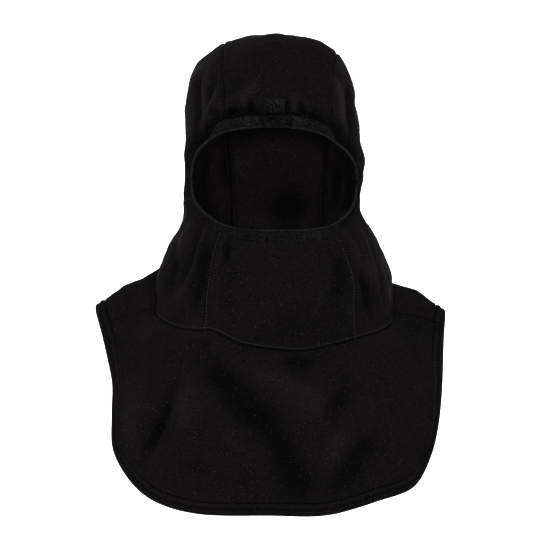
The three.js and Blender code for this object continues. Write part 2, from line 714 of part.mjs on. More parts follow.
addPiece('crown_panel', cowlPanel(crownSeamRight, crownSeamLeft), knit);
addPiece('side_panel_left', cowlPanel(crownSeamLeft, chinSeamLeft), knit);
addPiece('side_panel_right', cowlPanel(chinSeamRight, crownSeamRight + 360), knit);
addPiece('chin_panel', cowlPanel(chinSeamLeft, chinSeamRight), knit);
addPiece('face_elastic', loftedRing(wholeTurn, elasticSection), tape);
seatLoop(addPiece('pull_loop', pullLoop(), tape));
addPiece('bib_front', bibHalf(shoulderSeamLeft, shoulderSeamRight + 360), knit);
addPiece('bib_back', bibHalf(shoulderSeamRight, shoulderSeamLeft), knit);
addPiece('bib_hem', loftedRing(wholeTurn, hemSection), knit);

export default hood;
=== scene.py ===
import math

import bpy
import numpy as np
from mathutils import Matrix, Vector


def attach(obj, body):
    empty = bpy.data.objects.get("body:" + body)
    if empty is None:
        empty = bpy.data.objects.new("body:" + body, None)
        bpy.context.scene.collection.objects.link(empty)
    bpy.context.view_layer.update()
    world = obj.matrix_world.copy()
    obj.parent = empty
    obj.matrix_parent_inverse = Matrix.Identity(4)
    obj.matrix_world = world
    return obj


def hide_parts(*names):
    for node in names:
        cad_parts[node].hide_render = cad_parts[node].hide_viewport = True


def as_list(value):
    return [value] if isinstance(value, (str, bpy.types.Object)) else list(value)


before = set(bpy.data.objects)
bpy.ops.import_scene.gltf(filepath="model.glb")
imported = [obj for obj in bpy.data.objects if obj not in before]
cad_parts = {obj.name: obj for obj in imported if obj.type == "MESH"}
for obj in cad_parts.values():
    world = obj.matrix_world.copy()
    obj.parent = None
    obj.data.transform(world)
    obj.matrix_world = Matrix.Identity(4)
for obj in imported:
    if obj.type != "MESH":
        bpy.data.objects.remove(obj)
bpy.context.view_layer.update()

# Cloth of the head part and neck: thick black double knit, cut as a strip over the crown and down the back,
# two sides and a piece under the chin, and sewn edge to edge. Its surface runs from the face opening's
# elastic over the head to the yoke seam. Left is -X, as seen from the front, and lengths are in metres.
MM = 0.001
viewing_distance = 5.0
eye_height = -0.261
fabric = 0.002
cowl_height = 0.340
head_width = 0.184
head_front = 0.106
head_back = 0.112
yoke_width = 0.252
yoke_front = 0.130
yoke_back = 0.102
face_width = 0.178
face_height = 0.108
face_drop = 0.1575
face_shift = 0.0042
elastic_width = 0.0135
tuck_reach = 0.026
crown_draw = 0.2

# Seams, in degrees around the face opening: 0 right, 90 top, 180 left, 270 bottom
shoulder_seam_right = 3.0
crown_seam_right = 54.0
crown_seam_left = 120.0
shoulder_seam_left = 177.0
chin_seam_left = 236.5
chin_seam_right = 308.0

# Level sections: drop as a share of cowl_height, flare from the head's sizes to the yoke's, shares of them
sections = np.array(
    [
        # drop, flare, left, right, front, back, corner exponent
        (0.000, 0.00, 0.000, 0.000, 0.000, 0.000, 2.0),
        (0.0155, 0.00, 0.440, 0.570, 0.420, 0.420, 2.0),
        (0.064, 0.00, 0.757, 0.800, 0.740, 0.755, 2.0),
        (0.132, 0.00, 0.925, 0.915, 0.910, 0.930, 2.1),
        (0.226, 0.00, 0.990, 0.995, 0.990, 1.000, 2.2),
        (0.306, 0.00, 1.005, 1.020, 1.005, 1.005, 2.3),
        (0.406, 0.00, 0.990, 1.060, 1.000, 0.970, 2.3),
        (0.509, 0.00, 1.005, 1.050, 0.970, 0.880, 2.3),
        (0.559, 0.05, 0.985, 1.040, 0.945, 0.820, 2.3),
        (0.609, 0.35, 0.935, 1.030, 0.870, 0.825, 2.3),
        (0.662, 0.60, 0.975, 1.040, 0.865, 0.840, 2.3),
        (0.712, 0.80, 0.975, 1.045, 0.880, 0.885, 2.3),
        (0.776, 1.00, 0.955, 1.040, 0.900, 0.940, 2.3),
        (0.888, 1.00, 0.968, 1.032, 0.965, 0.980, 2.3),
        (1.000, 1.00, 0.976, 1.032, 1.000, 1.000, 2.3),
    ]
)
# Degrees by which the cloth turns on its way to the yoke, and corner exponents of the face opening
cloth_turns = [(-90, 0), (-52, 4), (0, 0), (54, 6), (88, 0), (118, -6), (180, 0), (236, 0)]
face_corners = [(45, 2.25), (135, 2.8), (225, 2.55), (315, 3.1)]


def curve(knots, values):
    """Smooth curve through rows of values, each row's slope taken from its two neighbours."""
    knots, values = np.array(knots, float), np.array(values, float)
    rows = np.arange(len(knots))
    before, after = np.maximum(rows - 1, 0), np.minimum(rows + 1, len(knots) - 1)
    slopes = (values[after] - values[before]) / (knots[after] - knots[before])

    def at(place):
        row = np.clip(np.searchsorted(knots, place, side="right") - 1, 0, len(knots) - 2)
        span = knots[row + 1] - knots[row]
        t = (place - knots[row]) / span
        near = values[row] * (1 + 2 * t) * (1 - t) ** 2 + slopes[row] * span * t * (1 - t) ** 2
        far = values[row + 1] * t * t * (3 - 2 * t) + slopes[row + 1] * span * t * t * (t - 1)
        return near + far

    return at


def ring_curve(knots, values):
    """The same curve, once around, for rows in degrees."""
    knots, values = np.array(knots, float), np.array(values, float)
    turns = np.concatenate([knots - 360, knots, knots + 360])
    return curve(turns, np.tile(values, 3))


def ease(start, end, value):
    """Smooth step from 0 at start to 1 at end."""
    t = np.clip((value - start) / (end - start), 0, 1)
    return t * t * (3 - 2 * t)


def bell(distance, width, power=2):
    """Bell curve: 1 at no distance, falling to a third at the width, flatter on top with a higher power."""
    return np.exp(-((distance / width) ** power))


half_width = (head_width + (yoke_width - head_width) * sections[:, 1]) / 2
section_sizes = np.stack(
    [
        sections[:, 0] * cowl_height,
        sections[:, 2] * half_width,
        sections[:, 3] * half_width,
        sections[:, 4] * (head_front + (yoke_front - head_front) * sections[:, 1]),
        sections[:, 5] * (head_back + (yoke_back - head_back) * sections[:, 1]),
    ]
)
wall_share = 0.35
steps = np.diff(section_sizes, axis=1)
way = np.concatenate([[0], np.cumsum((steps[1] + steps[2]) / 2 + wall_share * steps[0])])
way /= way[-1]
mirrored = section_sizes[:, 1] * np.array([1, -1, -1, -1, -1])
section_drop, section_left, section_right, section_front, section_back = [
    curve(np.concatenate([[-way[1]], way]), np.concatenate([[beyond], sizes]))
    for beyond, sizes in zip(mirrored, section_sizes)
]
section_square = curve(way, sections[:, 6])


def cowl_point(at, angle):
    """Outside point of the cowl at a share of the way from the crown, at an angle: 0 right, 90 back."""
    across, deep = np.cos(angle), np.sin(angle)
    square = section_square(at)
    reach = (np.abs(across) ** square + np.abs(deep) ** square) ** (-1 / square)
    width = np.where(across < 0, section_left(at), section_right(at))
    depth = np.where(deep < 0, section_front(at), section_back(at))
    return np.stack([width * reach * across, depth * reach * deep, fabric - section_drop(at)], -1)


ways = np.linspace(0, 1.1, 6000)
drops = section_drop(ways)


def at_drop(drop):
    """Share of the way at which the cowl has a drop."""
    return np.interp(drop, drops, ways)


face_square = ring_curve(*zip(*face_corners))
widest_seen = 0.985


def rim_front(around):
    """Place of the face opening's rim on the cowl's front."""
    across, up = np.cos(np.radians(around)), np.sin(np.radians(around))
    square = face_square(around % 360)
    reach = (np.abs(across) ** square + np.abs(up) ** square) ** (-1 / square)
    x = face_shift + face_width / 2 * reach * across
    drop = face_drop - face_height / 2 * reach * up
    at = at_drop(drop)
    square = section_square(at)
    share = np.minimum(np.abs(x) / np.where(x < 0, section_left(at), section_right(at)), widest_seen)
    depth = (1 - share**square) ** (1 / square)
    return at, drop, np.arctan2(-depth, np.sign(x) * share)


def rim_place(around, outset):
    """Place on the cowl outset from the face opening's rim."""
    at, drop, angle = rim_front(around)
    _, drop_ahead, angle_ahead = rim_front(around + 1.5)
    _, drop_behind, angle_behind = rim_front(around - 1.5)
    turn = math.radians(1)
    radius = np.linalg.norm(cowl_point(at, angle) - cowl_point(at, angle + turn), axis=-1) / turn
    across, down = (angle_ahead - angle_behind) * radius, drop_ahead - drop_behind
    length = np.hypot(across, down)
    return at_drop(drop + across / length * outset), angle - down / length * outset / radius


# Yoke seam: degrees from the front centre to each side, its drop left and right as shares of cowl_height
yoke_spokes = [
    (0, 0.992, 0.992), (15, 0.975, 0.998), (28, 0.937, 0.982), (38, 0.936, 0.967), (48, 0.929, 0.952),
    (58, 0.917, 0.941), (68, 0.905, 0.929), (78, 0.894, 0.917), (90, 0.884, 0.896), (102, 0.806, 0.832),
    (114, 0.742, 0.785), (126, 0.722, 0.766), (138, 0.718, 0.756), (148, 0.721, 0.750), (158, 0.728, 0.746),
    (168, 0.735, 0.741), (180, 0.740, 0.740),
]


def spoke_curve(rows, left, right):
    """Curve once around through the rows' values for the left and the right half."""
    angles = [-90 - row[0] for row in rows[:0:-1]] + [-90 + row[0] for row in rows[:-1]]
    return ring_curve(angles, [left(row) for row in rows[:0:-1]] + [right(row) for row in rows[:-1]])


yoke_drop = spoke_curve(yoke_spokes, lambda row: row[1] * cowl_height, lambda row: row[2] * cowl_height)
cloth_turn = ring_curve(*zip(*cloth_turns))


def ring_angle(around):
    """Section angle, in degrees, at which the cloth that leaves the face opening reaches the yoke."""
    return np.where(around > 180, around - 360, around) + cloth_turn(around)


def yoke_place(around):
    angle = ring_angle(around)
    return at_drop(yoke_drop(angle)), np.radians(angle)


def elastic_strip(around):
    """Rim point and direction of the elastic: flat on brow and chin, edge on to the front at the sides."""
    rim = cowl_point(*rim_place(around, 0.0))
    lay = cowl_point(*rim_place(around, elastic_width)) - rim
    lay /= np.linalg.norm(lay, axis=-1, keepdims=True)
    edge_on = 1 - ease(0.66, 0.86, np.abs(np.sin(np.radians(around))))[..., None]
    direction = lay * (1 - edge_on) + np.array([0.0, 1.0, 0.0]) * edge_on
    return rim, direction / np.linalg.norm(direction, axis=-1, keepdims=True)


# Columns of cells crowd towards the seams, so that the seams' rolled edges are finely drawn
seams = [
    shoulder_seam_right, crown_seam_right, crown_seam_left, shoulder_seam_left, chin_seam_left,
    chin_seam_right, shoulder_seam_right + 360,
]
panel_seams = [crown_seam_right, crown_seam_left, chin_seam_left, chin_seam_right]
columns_per_degree = 1.15
crowding = 0.72


def crowded(cells):
    """Shares from 0 to 1, closer together at both ends."""
    t = np.linspace(0, 1, cells + 1)
    return t - crowding * np.sin(2 * math.pi * t) / (2 * math.pi)


around = []
seam_column = {}
for start, end in zip(seams, seams[1:]):
    seam_column[start] = sum(len(run) for run in around)
    around.append(start + (end - start) * crowded(round((end - start) * columns_per_degree))[:-1])
around.append(np.array([seams[-1]]))
around = np.concatenate(around)
seam_column[seams[-1]] = len(around) - 1

cowl_rows = 150
face_at, face_angle = rim_place(around, elastic_width)
yoke_at, yoke_angle = yoke_place(around)
rim, lay = elastic_strip(around)
cloth_edge = rim + lay * elastic_width
tuck = cloth_edge - cowl_point(face_at, face_angle)
face_disc = np.stack([face_at * np.cos(face_angle), face_at * np.sin(face_angle)], -1)
yoke_disc = np.stack([yoke_at * np.cos(yoke_angle), yoke_at * np.sin(yoke_angle)], -1)


def straight_point(share):
    """Point at a share of the way over the cloth from elastic to yoke, drawn in at the crown."""
    spot = face_disc[:, None] * (1 - share[..., None]) + yoke_disc[:, None] * share[..., None]
    drawn = crown_draw * 4 * share * (1 - share) * np.maximum(np.sin(np.radians(around)), 0)[:, None]
    spot[..., 0] *= 1 - drawn
    return cowl_point(np.hypot(spot[..., 0], spot[..., 1]), np.arctan2(spot[..., 1], spot[..., 0]))


shares = np.linspace(0, 1, 200)
line = straight_point(np.tile(shares, (len(around), 1)))
lengths = np.concatenate(
    [np.zeros((len(around), 1)), np.cumsum(np.linalg.norm(np.diff(line, axis=1), axis=-1), axis=1)], 1
)
towards_elastic = 0.35
row_shares = (1 - towards_elastic) * crowded(cowl_rows) + towards_elastic * crowded(cowl_rows) ** 1.6
row_lengths = row_shares * lengths[:, -1:]
even = np.stack([np.interp(wanted, had, shares) for wanted, had in zip(row_lengths, lengths)])
cowl = straight_point(even) + tuck[:, None] * (1 - ease(0, tuck_reach, row_lengths))[..., None]


def along(points, axis):
    """Distance along a grid's rows or columns from its first."""
    steps = np.linalg.norm(np.diff(points, axis=axis), axis=-1)
    return np.concatenate([np.zeros_like(np.take(steps, [0], axis)), np.cumsum(steps, axis)], axis)


def from_seams(across, wanted):
    """Distance of a grid's points from each of the wanted seams, along its rows."""
    return [np.abs(across - across[seam_column[seam]]) for seam in wanted]


def outward(points):
    """Direction out of a grid of points, columns around from the right over the top, rows down."""
    aside, below = np.gradient(points, axis=0), np.gradient(points, axis=1)
    out = np.cross(below, aside)
    return out / np.maximum(np.linalg.norm(out, axis=-1, keepdims=True), 1e-12)


# Folds of the front, as seen from there: lines through three places in millimetres from the crown's middle,
# x and z, with the height of the ridge, below 0 for a valley, and half of its width, in millimetres
head_folds = [
    # start, middle, end, rise, width
    ((-58, -21), (-70, -31), (-82, -46), 3.4, 2.6),
    ((-82, -44), (-87, -72), (-80, -102), 4.4, 3.0),
    ((-67, -28), (-70, -62), (-69, -98), 3.6, 2.8),
    ((-56, -58), (-62, -73), (-68, -84), 3.4, 2.4),
    ((-58, -50), (-64, -62), (-68, -75), -3.6, 3.4),
    ((-76, -44), (-78, -74), (-75, -104), -4.2, 4.4),
    ((-91, -76), (-87, -90), (-82, -108), 2.4, 2.4),
    ((-60, -78), (-58, -86), (-52, -90), -2.6, 5.0),
    ((-91, -180), (-88, -177), (-84, -173), 2.4, 1.8),
    ((66, -46), (75, -66), (77, -104), 4.6, 3.0),
    ((82, -50), (85, -78), (83, -108), -4.8, 4.4),
    ((66, -14), (83, -46), (89, -74), 3.6, 3.2),
    ((90, -76), (93, -97), (84, -120), 3.8, 2.8),
    ((94, -104), (97, -124), (97, -140), 2.6, 3.4),
    ((70, -92), (68, -100), (62, -104), -2.6, 4.0),
    ((-27, -38), (-36, -52), (-44, -66), -2.0, 6.0),
    ((-14, -50), (-22, -58), (-34, -66), 1.4, 6.0),
    ((26, -44), (38, -58), (46, -76), -1.6, 6.0),
]
neck_folds = [
    ((-78, -192), (-92, -221), (-102, -242), 5.6, 4.2),
    ((-66, -204), (-77, -226), (-83, -250), 5.0, 3.6),
    ((-84, -250), (-89, -270), (-97, -290), 6.0, 4.2),
    ((-73, -206), (-86, -238), (-94, -266), -5.0, 5.0),
    ((-66, -216), (-72, -252), (-80, -296), -6.2, 7.0),
    ((-114, -246), (-117, -262), (-117, -282), 3.8, 5.0),
    ((-46, -224), (-46, -232), (-47, -244), -4.8, 3.2),
    ((-52, -222), (-53, -236), (-55, -250), 2.4, 2.6),
    ((-98, -232), (-106, -256), (-108, -280), -4.6, 5.0),
    ((78, -210), (92, -238), (103, -262), 5.4, 3.8),
    ((88, -196), (103, -234), (112, -268), 4.6, 3.6),
    ((104, -250), (111, -278), (117, -312), 6.0, 3.6),
    ((94, -240), (102, -270), (107, -300), -5.2, 5.0),
    ((70, -236), (75, -262), (68, -290), -6.0, 8.5),
    ((18, -250), (24, -270), (10, -300), 2.6, 22.0),
    ((-58, -240), (-60, -270), (-58, -300), 2.6, 5.0),
    ((123, -268), (124, -290), (122, -306), 3.0, 4.5),
]


def fold_lift(points, folds, front):
    """Height of the folds at points, by their distance from each line, seen from the front or the back."""
    nearer = viewing_distance / (viewing_distance + (points[..., 1] if front else 0))
    seen = np.stack([points[..., 0] * nearer, eye_height + (points[..., 2] - eye_height) * nearer], -1)
    lift = np.zeros(points.shape[:-1])
    for start, middle, end, rise, width in folds:
        start, middle, end = (np.array(place) * MM for place in (start, middle, end))
        t = np.linspace(0, 1, 14)[:, None]
        bend = 2 * middle - (start + end) / 2
        places = start * (1 - t) ** 2 + 2 * bend * t * (1 - t) + end * t**2
        near = np.full(points.shape[:-1], np.inf)
        share = np.zeros(points.shape[:-1])
        for step, (a, b) in enumerate(zip(places, places[1:])):
            way_along = np.clip(((seen - a) @ (b - a)) / ((b - a) @ (b - a)), 0, 1)
            apart = np.linalg.norm(seen - a - way_along[..., None] * (b - a), axis=-1)
            share = np.where(apart < near, (step + way_along) / (len(places) - 1), share)
            near = np.minimum(near, apart)
        fading = np.sqrt(np.sin(math.pi * np.clip(share, 0.03, 0.97)))
        lift += rise * MM * fading * bell(near, width * MM)
    return lift * (points[..., 1] < 0 if front else points[..., 1] > 0)


def unevenness(points, size, seed):
    """Soft random waves of about a size, the same wherever two pieces meet."""
    random = np.random.default_rng(seed)
    waves = random.normal(size=(24, 3)) * 2 * math.pi / size
    starts = random.uniform(0, 2 * math.pi, 24)
    return sum(np.sin(points @ wave + start) for wave, start in zip(waves, starts)) / math.sqrt(12)


# The elastic gathers the cloth: a puff all over the brow, with tucks pressed in just above the tape, whose
# valleys are also painted dark as shade
gather_rise = 0.0045
gather_reach = 0.015
gather_spread = 0.0105
loop_width = 0.022
brow_tucks = [
    ((-20.5, -68), (-20.5, -75), (-20.5, -84), -5.6, 2.8),
    ((17.4, -68), (17.4, -75), (17.6, -84), -5.0, 2.4),
    ((32, -71), (33, -78), (35, -86), -4.4, 2.6),
    ((44, -78), (48, -84), (54, -92), -3.6, 3.0),
    ((-48, -88), (-38, -80), (-26, -77), -3.4, 3.4),
    ((-28, -64), (-28, -73), (-27, -82), 2.0, 2.6),
    ((24, -64), (25, -73), (25, -82), 2.0, 2.6),
]

from_elastic = along(cowl, 1)
to_yoke = from_elastic[:, -1:] - from_elastic
height_around = np.sin(np.radians(around))[:, None]
by_loop = bell(cowl[..., 0] - face_shift, loop_width, 4) * (around < 180)[:, None]
puff = gather_rise * ease(-0.6, 0.7, height_around) * (1 - by_loop)
puff = puff * bell(from_elastic - gather_reach, gather_spread)
pucker_count = 46


def puckered(around):
    """Fine wave of the gathers once around the elastic, a little uneven."""
    turn = np.radians(around)
    return np.cos(turn * pucker_count + 1.7 * np.sin(turn * 5))


pucker = 0.0005 * puckered(around)[:, None] * bell(from_elastic - 0.006, 0.007)
away = ease(0.0005, 0.009, from_elastic) * ease(0.0005, 0.010, to_yoke)
front_lift = fold_lift(cowl, head_folds + neck_folds + brow_tucks, True)
lift = puff + front_lift
lift += 0.0007 * unevenness(cowl, 0.09, 3) + 0.00022 * unevenness(cowl, 0.026, 5)

# Soft folds down the back of the neck
nape_folds = [
    ((-62, -190), (-66, -225), (-70, -250), 3.3, 7.0),
    ((-38, -196), (-44, -226), (-47, -250), -3.0, 8.0),
    ((52, -192), (56, -222), (60, -250), 3.6, 7.0),
    ((78, -186), (86, -216), (98, -244), -3.6, 8.0),
    ((-84, -180), (-94, -214), (-106, -240), -3.3, 8.0),
]
back_lift = fold_lift(cowl, nape_folds, False)

# The nape bags out a little under the crown, a hollow seen through the face opening, which is also painted dark
# as shade on the inside
nape_rise = 0.0065
nape_x, nape_z = 0.0205, -0.181
nape_across, nape_down = 0.018, 0.022
nape_bag = bell(cowl[..., 0] - nape_x, nape_across) * bell(cowl[..., 2] - nape_z, nape_down)
back_lift += nape_rise * nape_bag * (cowl[..., 1] > 0)
lift += back_lift
lift = lift * away + pucker * ease(0.0, 0.003, from_elastic)

# Flat seams between the panels: the cloth's edges dip into each line, with a soft swell on either side
seam_dip, seam_dip_width = 0.0011, 0.0011
seam_swell, swell_away, swell_width = 0.0004, 0.0042, 0.0022
yoke_roll, roll_away, roll_width = 0.0010, 0.0026, 0.0018
yoke_dip, yoke_dip_width = 0.0008, 0.0009
beside_seams = from_seams(along(cowl, 0), panel_seams)
for beside in beside_seams:
    lift += seam_swell * bell(beside - swell_away, swell_width)
    lift -= seam_dip * bell(beside, seam_dip_width)
lift += yoke_roll * bell(to_yoke - roll_away, roll_width) - yoke_dip * bell(to_yoke, yoke_dip_width)

cowl_out = outward(cowl)
elastic_aside = np.gradient(cloth_edge, axis=0)
elastic_out = np.cross(lay, elastic_aside)
elastic_out /= np.linalg.norm(elastic_out, axis=-1, keepdims=True)
elastic_out *= np.sign((elastic_out * cowl_out[:, 3]).sum(-1, keepdims=True))
cowl_skin = cowl + cowl_out * lift[..., None]
cowl_out = outward(cowl_skin)


def join_ends(out):
    """Makes the directions at a ring's two ends the same."""
    shared = out[0] + out[-1]
    shared /= np.linalg.norm(shared, axis=-1, keepdims=True)
    out[0] = out[-1] = shared


join_ends(cowl_out)
turning = ease(0.0, 0.004, from_elastic)[..., None]
cowl_out = elastic_out[:, None] * (1 - turning) + cowl_out * turning
cowl_out /= np.linalg.norm(cowl_out, axis=-1, keepdims=True)

# Inside, each seam's two allowances lie open and stitched down, with a raised edge
allowance, allowance_thick = 0.0055, 0.0007
inner_dip, inner_dip_width = 0.0008, 0.0008
inside = cowl - cowl_out * fabric + cowl_out * lift[..., None]
inner_lift = np.zeros(lift.shape)
for beside in beside_seams:
    inner_lift += allowance_thick * (1 - ease(allowance - 0.0008, allowance + 0.0004, beside))
    inner_lift -= inner_dip * bell(beside, inner_dip_width)
cowl_inner = inside - cowl_out * (inner_lift * ease(0.001, 0.004, from_elastic))[..., None]


# Painted light and shade: the yarn painted paler on the ridges of the folds and darker in their valleys, as
# light falls
fold_contrast = 0.72
# Painted light inside, standing in for the light that comes in through the face opening
inside_painted_light = 1.45


def painted_fold_shade(height, full, pale=fold_contrast):
    """Painted shade of the yarn at a fold's height, 1 on flat cloth: paler on ridges, darker in valleys, fully
    so at a height of full.
    """
    return 1 + np.where(height > 0, pale, fold_contrast) * np.tanh(height / full)


def facing_out(points, faces):
    """Faces of a closed mesh, all turned over if they look inwards."""
    corner = points[faces]
    volume = 0
    for k in (1, 2):
        volume += np.einsum("ij,ij->i", corner[:, 0], np.cross(corner[:, k], corner[:, k + 1])).sum()
    return faces[:, ::-1] if volume < 0 else faces


def cloth_piece(name, outer, inner, shade, inner_shade, material):
    """One panel: outer and inner skins of a grid, closed along its four edges, with a UV map in metres."""
    columns, rows = outer.shape[:2]
    index = np.arange(columns * rows).reshape(columns, rows)
    other = index + columns * rows
    faces = [
        np.stack([index[:-1, :-1], index[:-1, 1:], index[1:, 1:], index[1:, :-1]], -1).reshape(-1, 4),
        np.stack([other[:-1, :-1], other[1:, :-1], other[1:, 1:], other[:-1, 1:]], -1).reshape(-1, 4),
    ]
    top, bottom = (index[:, 0], other[:, 0]), (other[:, -1], index[:, -1])
    first, last = (other[0], index[0]), (index[-1], other[-1])
    for a, b in (top, bottom, first, last):
        faces.append(np.stack([a[:-1], a[1:], b[1:], b[:-1]], -1))
    points = np.concatenate([outer.reshape(-1, 3), inner.reshape(-1, 3)])
    faces = facing_out(points, np.concatenate(faces))
    uv = np.stack([along(outer, 0), along(outer, 1)], -1).reshape(-1, 2)
    shades = np.concatenate([shade.reshape(-1), inner_shade.reshape(-1)])
    return solid_mesh(name, points, faces, np.concatenate([uv, uv]), shades, material)


def solid_mesh(name, points, faces, uv, shades, material):
    """Smooth mesh object at the origin, with a UV map called cloth and a shade at each point, mostly painted
    light and shade.
    """
    mesh = bpy.data.meshes.new(name)
    mesh.from_pydata(points.tolist(), [], faces.tolist())
    layer = mesh.uv_layers.new(name="cloth")
    layer.data.foreach_set("uv", uv[faces.reshape(-1)].astype(np.float32).reshape(-1))
    mesh.attributes.new("shade", "FLOAT", "POINT").data.foreach_set("value", shades.astype(np.float32))
    mesh.polygons.foreach_set("use_smooth", np.ones(len(faces), bool))
    mesh.materials.append(material)
    mesh.validate()
    piece = bpy.data.objects.new(name, mesh)
    bpy.context.scene.collection.objects.link(piece)
    return piece


class Dye:
    """One value in a material, so that its maths reads as plain sums."""

    def __init__(self, tree, socket=None):
        self.tree = tree
        self.socket = socket

    def node(self, kind, settings, inputs, output=0):
        made = self.tree.nodes.new(kind)
        for name, value in settings.items():
            setattr(made, name, value)
        for name, value in inputs.items():
            if isinstance(value, Dye):
                self.tree.links.new(value.socket, made.inputs[name])
            else:
                made.inputs[name].default_value = value
        return Dye(self.tree, made.outputs[output])

    def sum(self, operation, first, second):
        return self.node("ShaderNodeMath", {"operation": operation}, {0: first, 1: second})

    def __add__(self, other):
        return self.sum("ADD", self, other)

    __radd__ = __add__

    def __mul__(self, other):
        return self.sum("MULTIPLY", self, other)

    __rmul__ = __mul__

    def __sub__(self, other):
        return self.sum("SUBTRACT", self, other)

    def __rsub__(self, other):
        return self.sum("SUBTRACT", other, self)

    def __gt__(self, other):
        return self.sum("GREATER_THAN", self, other)

    def __lt__(self, other):
        return self.sum("LESS_THAN", self, other)


def colour_of(dye, factor, low, high):
    """Colour between two, by a factor."""
    return dye.node(
        "ShaderNodeMix", {"data_type": "RGBA"}, {0: factor, 6: (*low, 1), 7: (*high, 1)}, output=2
    )


# Knit: brushed black yarn, a little warm, with a coarse grain and pale fibre flecks
knit_black = (0.0003, 0.0005, 0.0006)
knit_pale = (0.0445, 0.0400, 0.0366)
knit_share = 0.2
fleck_colour = (0.060, 0.050, 0.032)
knit = bpy.data.materials.new("knit")
knit.use_nodes = True
surface = knit.node_tree.nodes["Principled BSDF"]
dye = Dye(knit.node_tree)
place = dye.node("ShaderNodeTexCoord", {}, {}, output="Object")
# Shade from the mesh: painted light and shade of folds, seams, hem and inside, multiplied into the yarn's
# colour
painted_shading = dye.node("ShaderNodeAttribute", {"attribute_name": "shade"}, {}, output="Fac")
patches = dye.node("ShaderNodeTexNoise", {}, {"Vector": place, "Scale": 22.0, "Detail": 3.0})
fine_grain = {"Vector": place, "Scale": 860.0, "Detail": 2.0, "Roughness": 0.6}
grain = dye.node("ShaderNodeTexNoise", {}, fine_grain)
grain_depth, patch_depth, darkest = 3.6, 1.1, 0.2
shade = 1 + (grain - 0.5) * grain_depth + (patches - 0.5) * patch_depth
shade = dye.sum("MAXIMUM", shade, darkest) * painted_shading
flecked = colour_of(dye, shade * knit_share, knit_black, knit_pale)
flecks = [
    # scale, size in a cell, share of the cells without one, strength
    (330.0, 0.18, 0.80, 0.9),
    (520.0, 0.27, 0.55, 0.24),
]
for scale, size, rare, strength in flecks:
    cell = {"Vector": place, "Scale": scale}
    spots = dye.node("ShaderNodeTexVoronoi", {}, cell)
    spot_colour = dye.node("ShaderNodeTexVoronoi", {}, cell, output="Color")
    chance = dye.node("ShaderNodeSeparateColor", {}, {"Color": spot_colour})
    fleck = (spots < size) * (chance > rare) * strength
    mixed = {0: fleck, 6: flecked, 7: (*fleck_colour, 1)}
    flecked = dye.node("ShaderNodeMix", {"data_type": "RGBA"}, mixed, output=2)
knit.node_tree.links.new(flecked.socket, surface.inputs["Base Color"])
fuzz = dye.node("ShaderNodeBump", {}, {"Strength": 0.35, "Distance": 0.0004, "Height": grain})
knit.node_tree.links.new(fuzz.socket, surface.inputs["Normal"])
surface.inputs["Roughness"].default_value = 0.92
surface.inputs["Specular IOR Level"].default_value = 0.05
surface.inputs["Sheen Weight"].default_value = 0.016
surface.inputs["Sheen Roughness"].default_value = 0.45
surface.inputs["Sheen Tint"].default_value = (1.0, 0.93, 0.86, 1)

# The four panels of the head and neck: each is a sheet of the knit, cut flat and stretched to the worn shape,
# with painted highlights on its fold ridges and painted shade in its fold valleys and seam grooves
cowl_panels = [
    # node, from seam, to seam
    ("crown_panel", crown_seam_right, crown_seam_left),
    ("side_panel_left", crown_seam_left, chin_seam_left),
    ("side_panel_right", chin_seam_right - 360, crown_seam_right),
    ("chin_panel", chin_seam_left, chin_seam_right),
]


def columns_between(first, last):
    """Columns of the grids from one seam to another."""
    if first < 0:
        return np.r_[seam_column[first + 360] : seam_column[seams[-1]], 0 : seam_column[last] + 1]
    return np.r_[seam_column[first] : seam_column[last] + 1]


# Painted highlights on the fold ridges, strong on the head and weaker on the neck, and painted shade in the
# valleys; the neck is a little darker overall
neck_ridges, head_ridges = 0.6, 2.0
neck_shade, neck_low, neck_top = 0.9, -0.23, -0.17
above_neck = ease(neck_low + 0.02, neck_top, cowl[..., 2])
ridge_pale = neck_ridges + (head_ridges - neck_ridges) * above_neck
neck_darker = neck_shade + (1 - neck_shade) * ease(neck_low, neck_top, cowl[..., 2])
cowl_shade = painted_fold_shade(front_lift + back_lift / 2, 0.0035, ridge_pale) * neck_darker

# A painted shadow where the brow's puff hangs over the tape, and on the yoke seam a painted highlight along its
# roll and painted shade in its line
brow_dark, brow_reach = 0.88, 0.0085
shadow_reach = brow_reach * (1 + 0.3 * unevenness(cowl, 0.03, 9))
cowl_shade *= 1 - brow_dark * ease(0.1, 0.5, height_around) * bell(from_elastic, shadow_reach)
roll_pale, yoke_dark = 0.25, 0.6
cowl_shade *= 1 + roll_pale * bell(to_yoke - roll_away, 0.0014) - yoke_dark * bell(to_yoke, 0.0012)
# Creases inside the side walls, drawn only as painted shade in their valleys and painted highlight on their
# ridges, without a shape of their own
inner_creases = [
    # start, middle, end, rise, width
    ((-68, -124), (-74, -156), (-68, -188), -1.0, 3.0),
    ((-53, -122), (-51, -144), (-52, -164), -0.9, 6.0),
    ((-49, -174), (-54, -184), (-60, -190), 0.8, 1.6),
    ((70, -138), (74, -156), (68, -182), -0.9, 6.0),
    ((78, -138), (82, -158), (78, -180), 0.6, 2.4),
]
crease_lift = fold_lift(cowl * [1, 0, 1] - [0, MM, 0], inner_creases, True)
# Painted light inside, paler still towards the back wall, standing in for light through the face opening; the
# nape's hollow painted dark as shade
back_painted_light, inside_begins = 0.55, -0.045
cowl_inner_shade = inside_painted_light * (1 + back_painted_light * ease(0.02, 0.08, cowl[..., 1]))
cowl_inner_shade = cowl_inner_shade * painted_fold_shade(-back_lift, 0.004)
cowl_inner_shade *= np.where(cowl[..., 1] > inside_begins, painted_fold_shade(crease_lift, MM), 1)
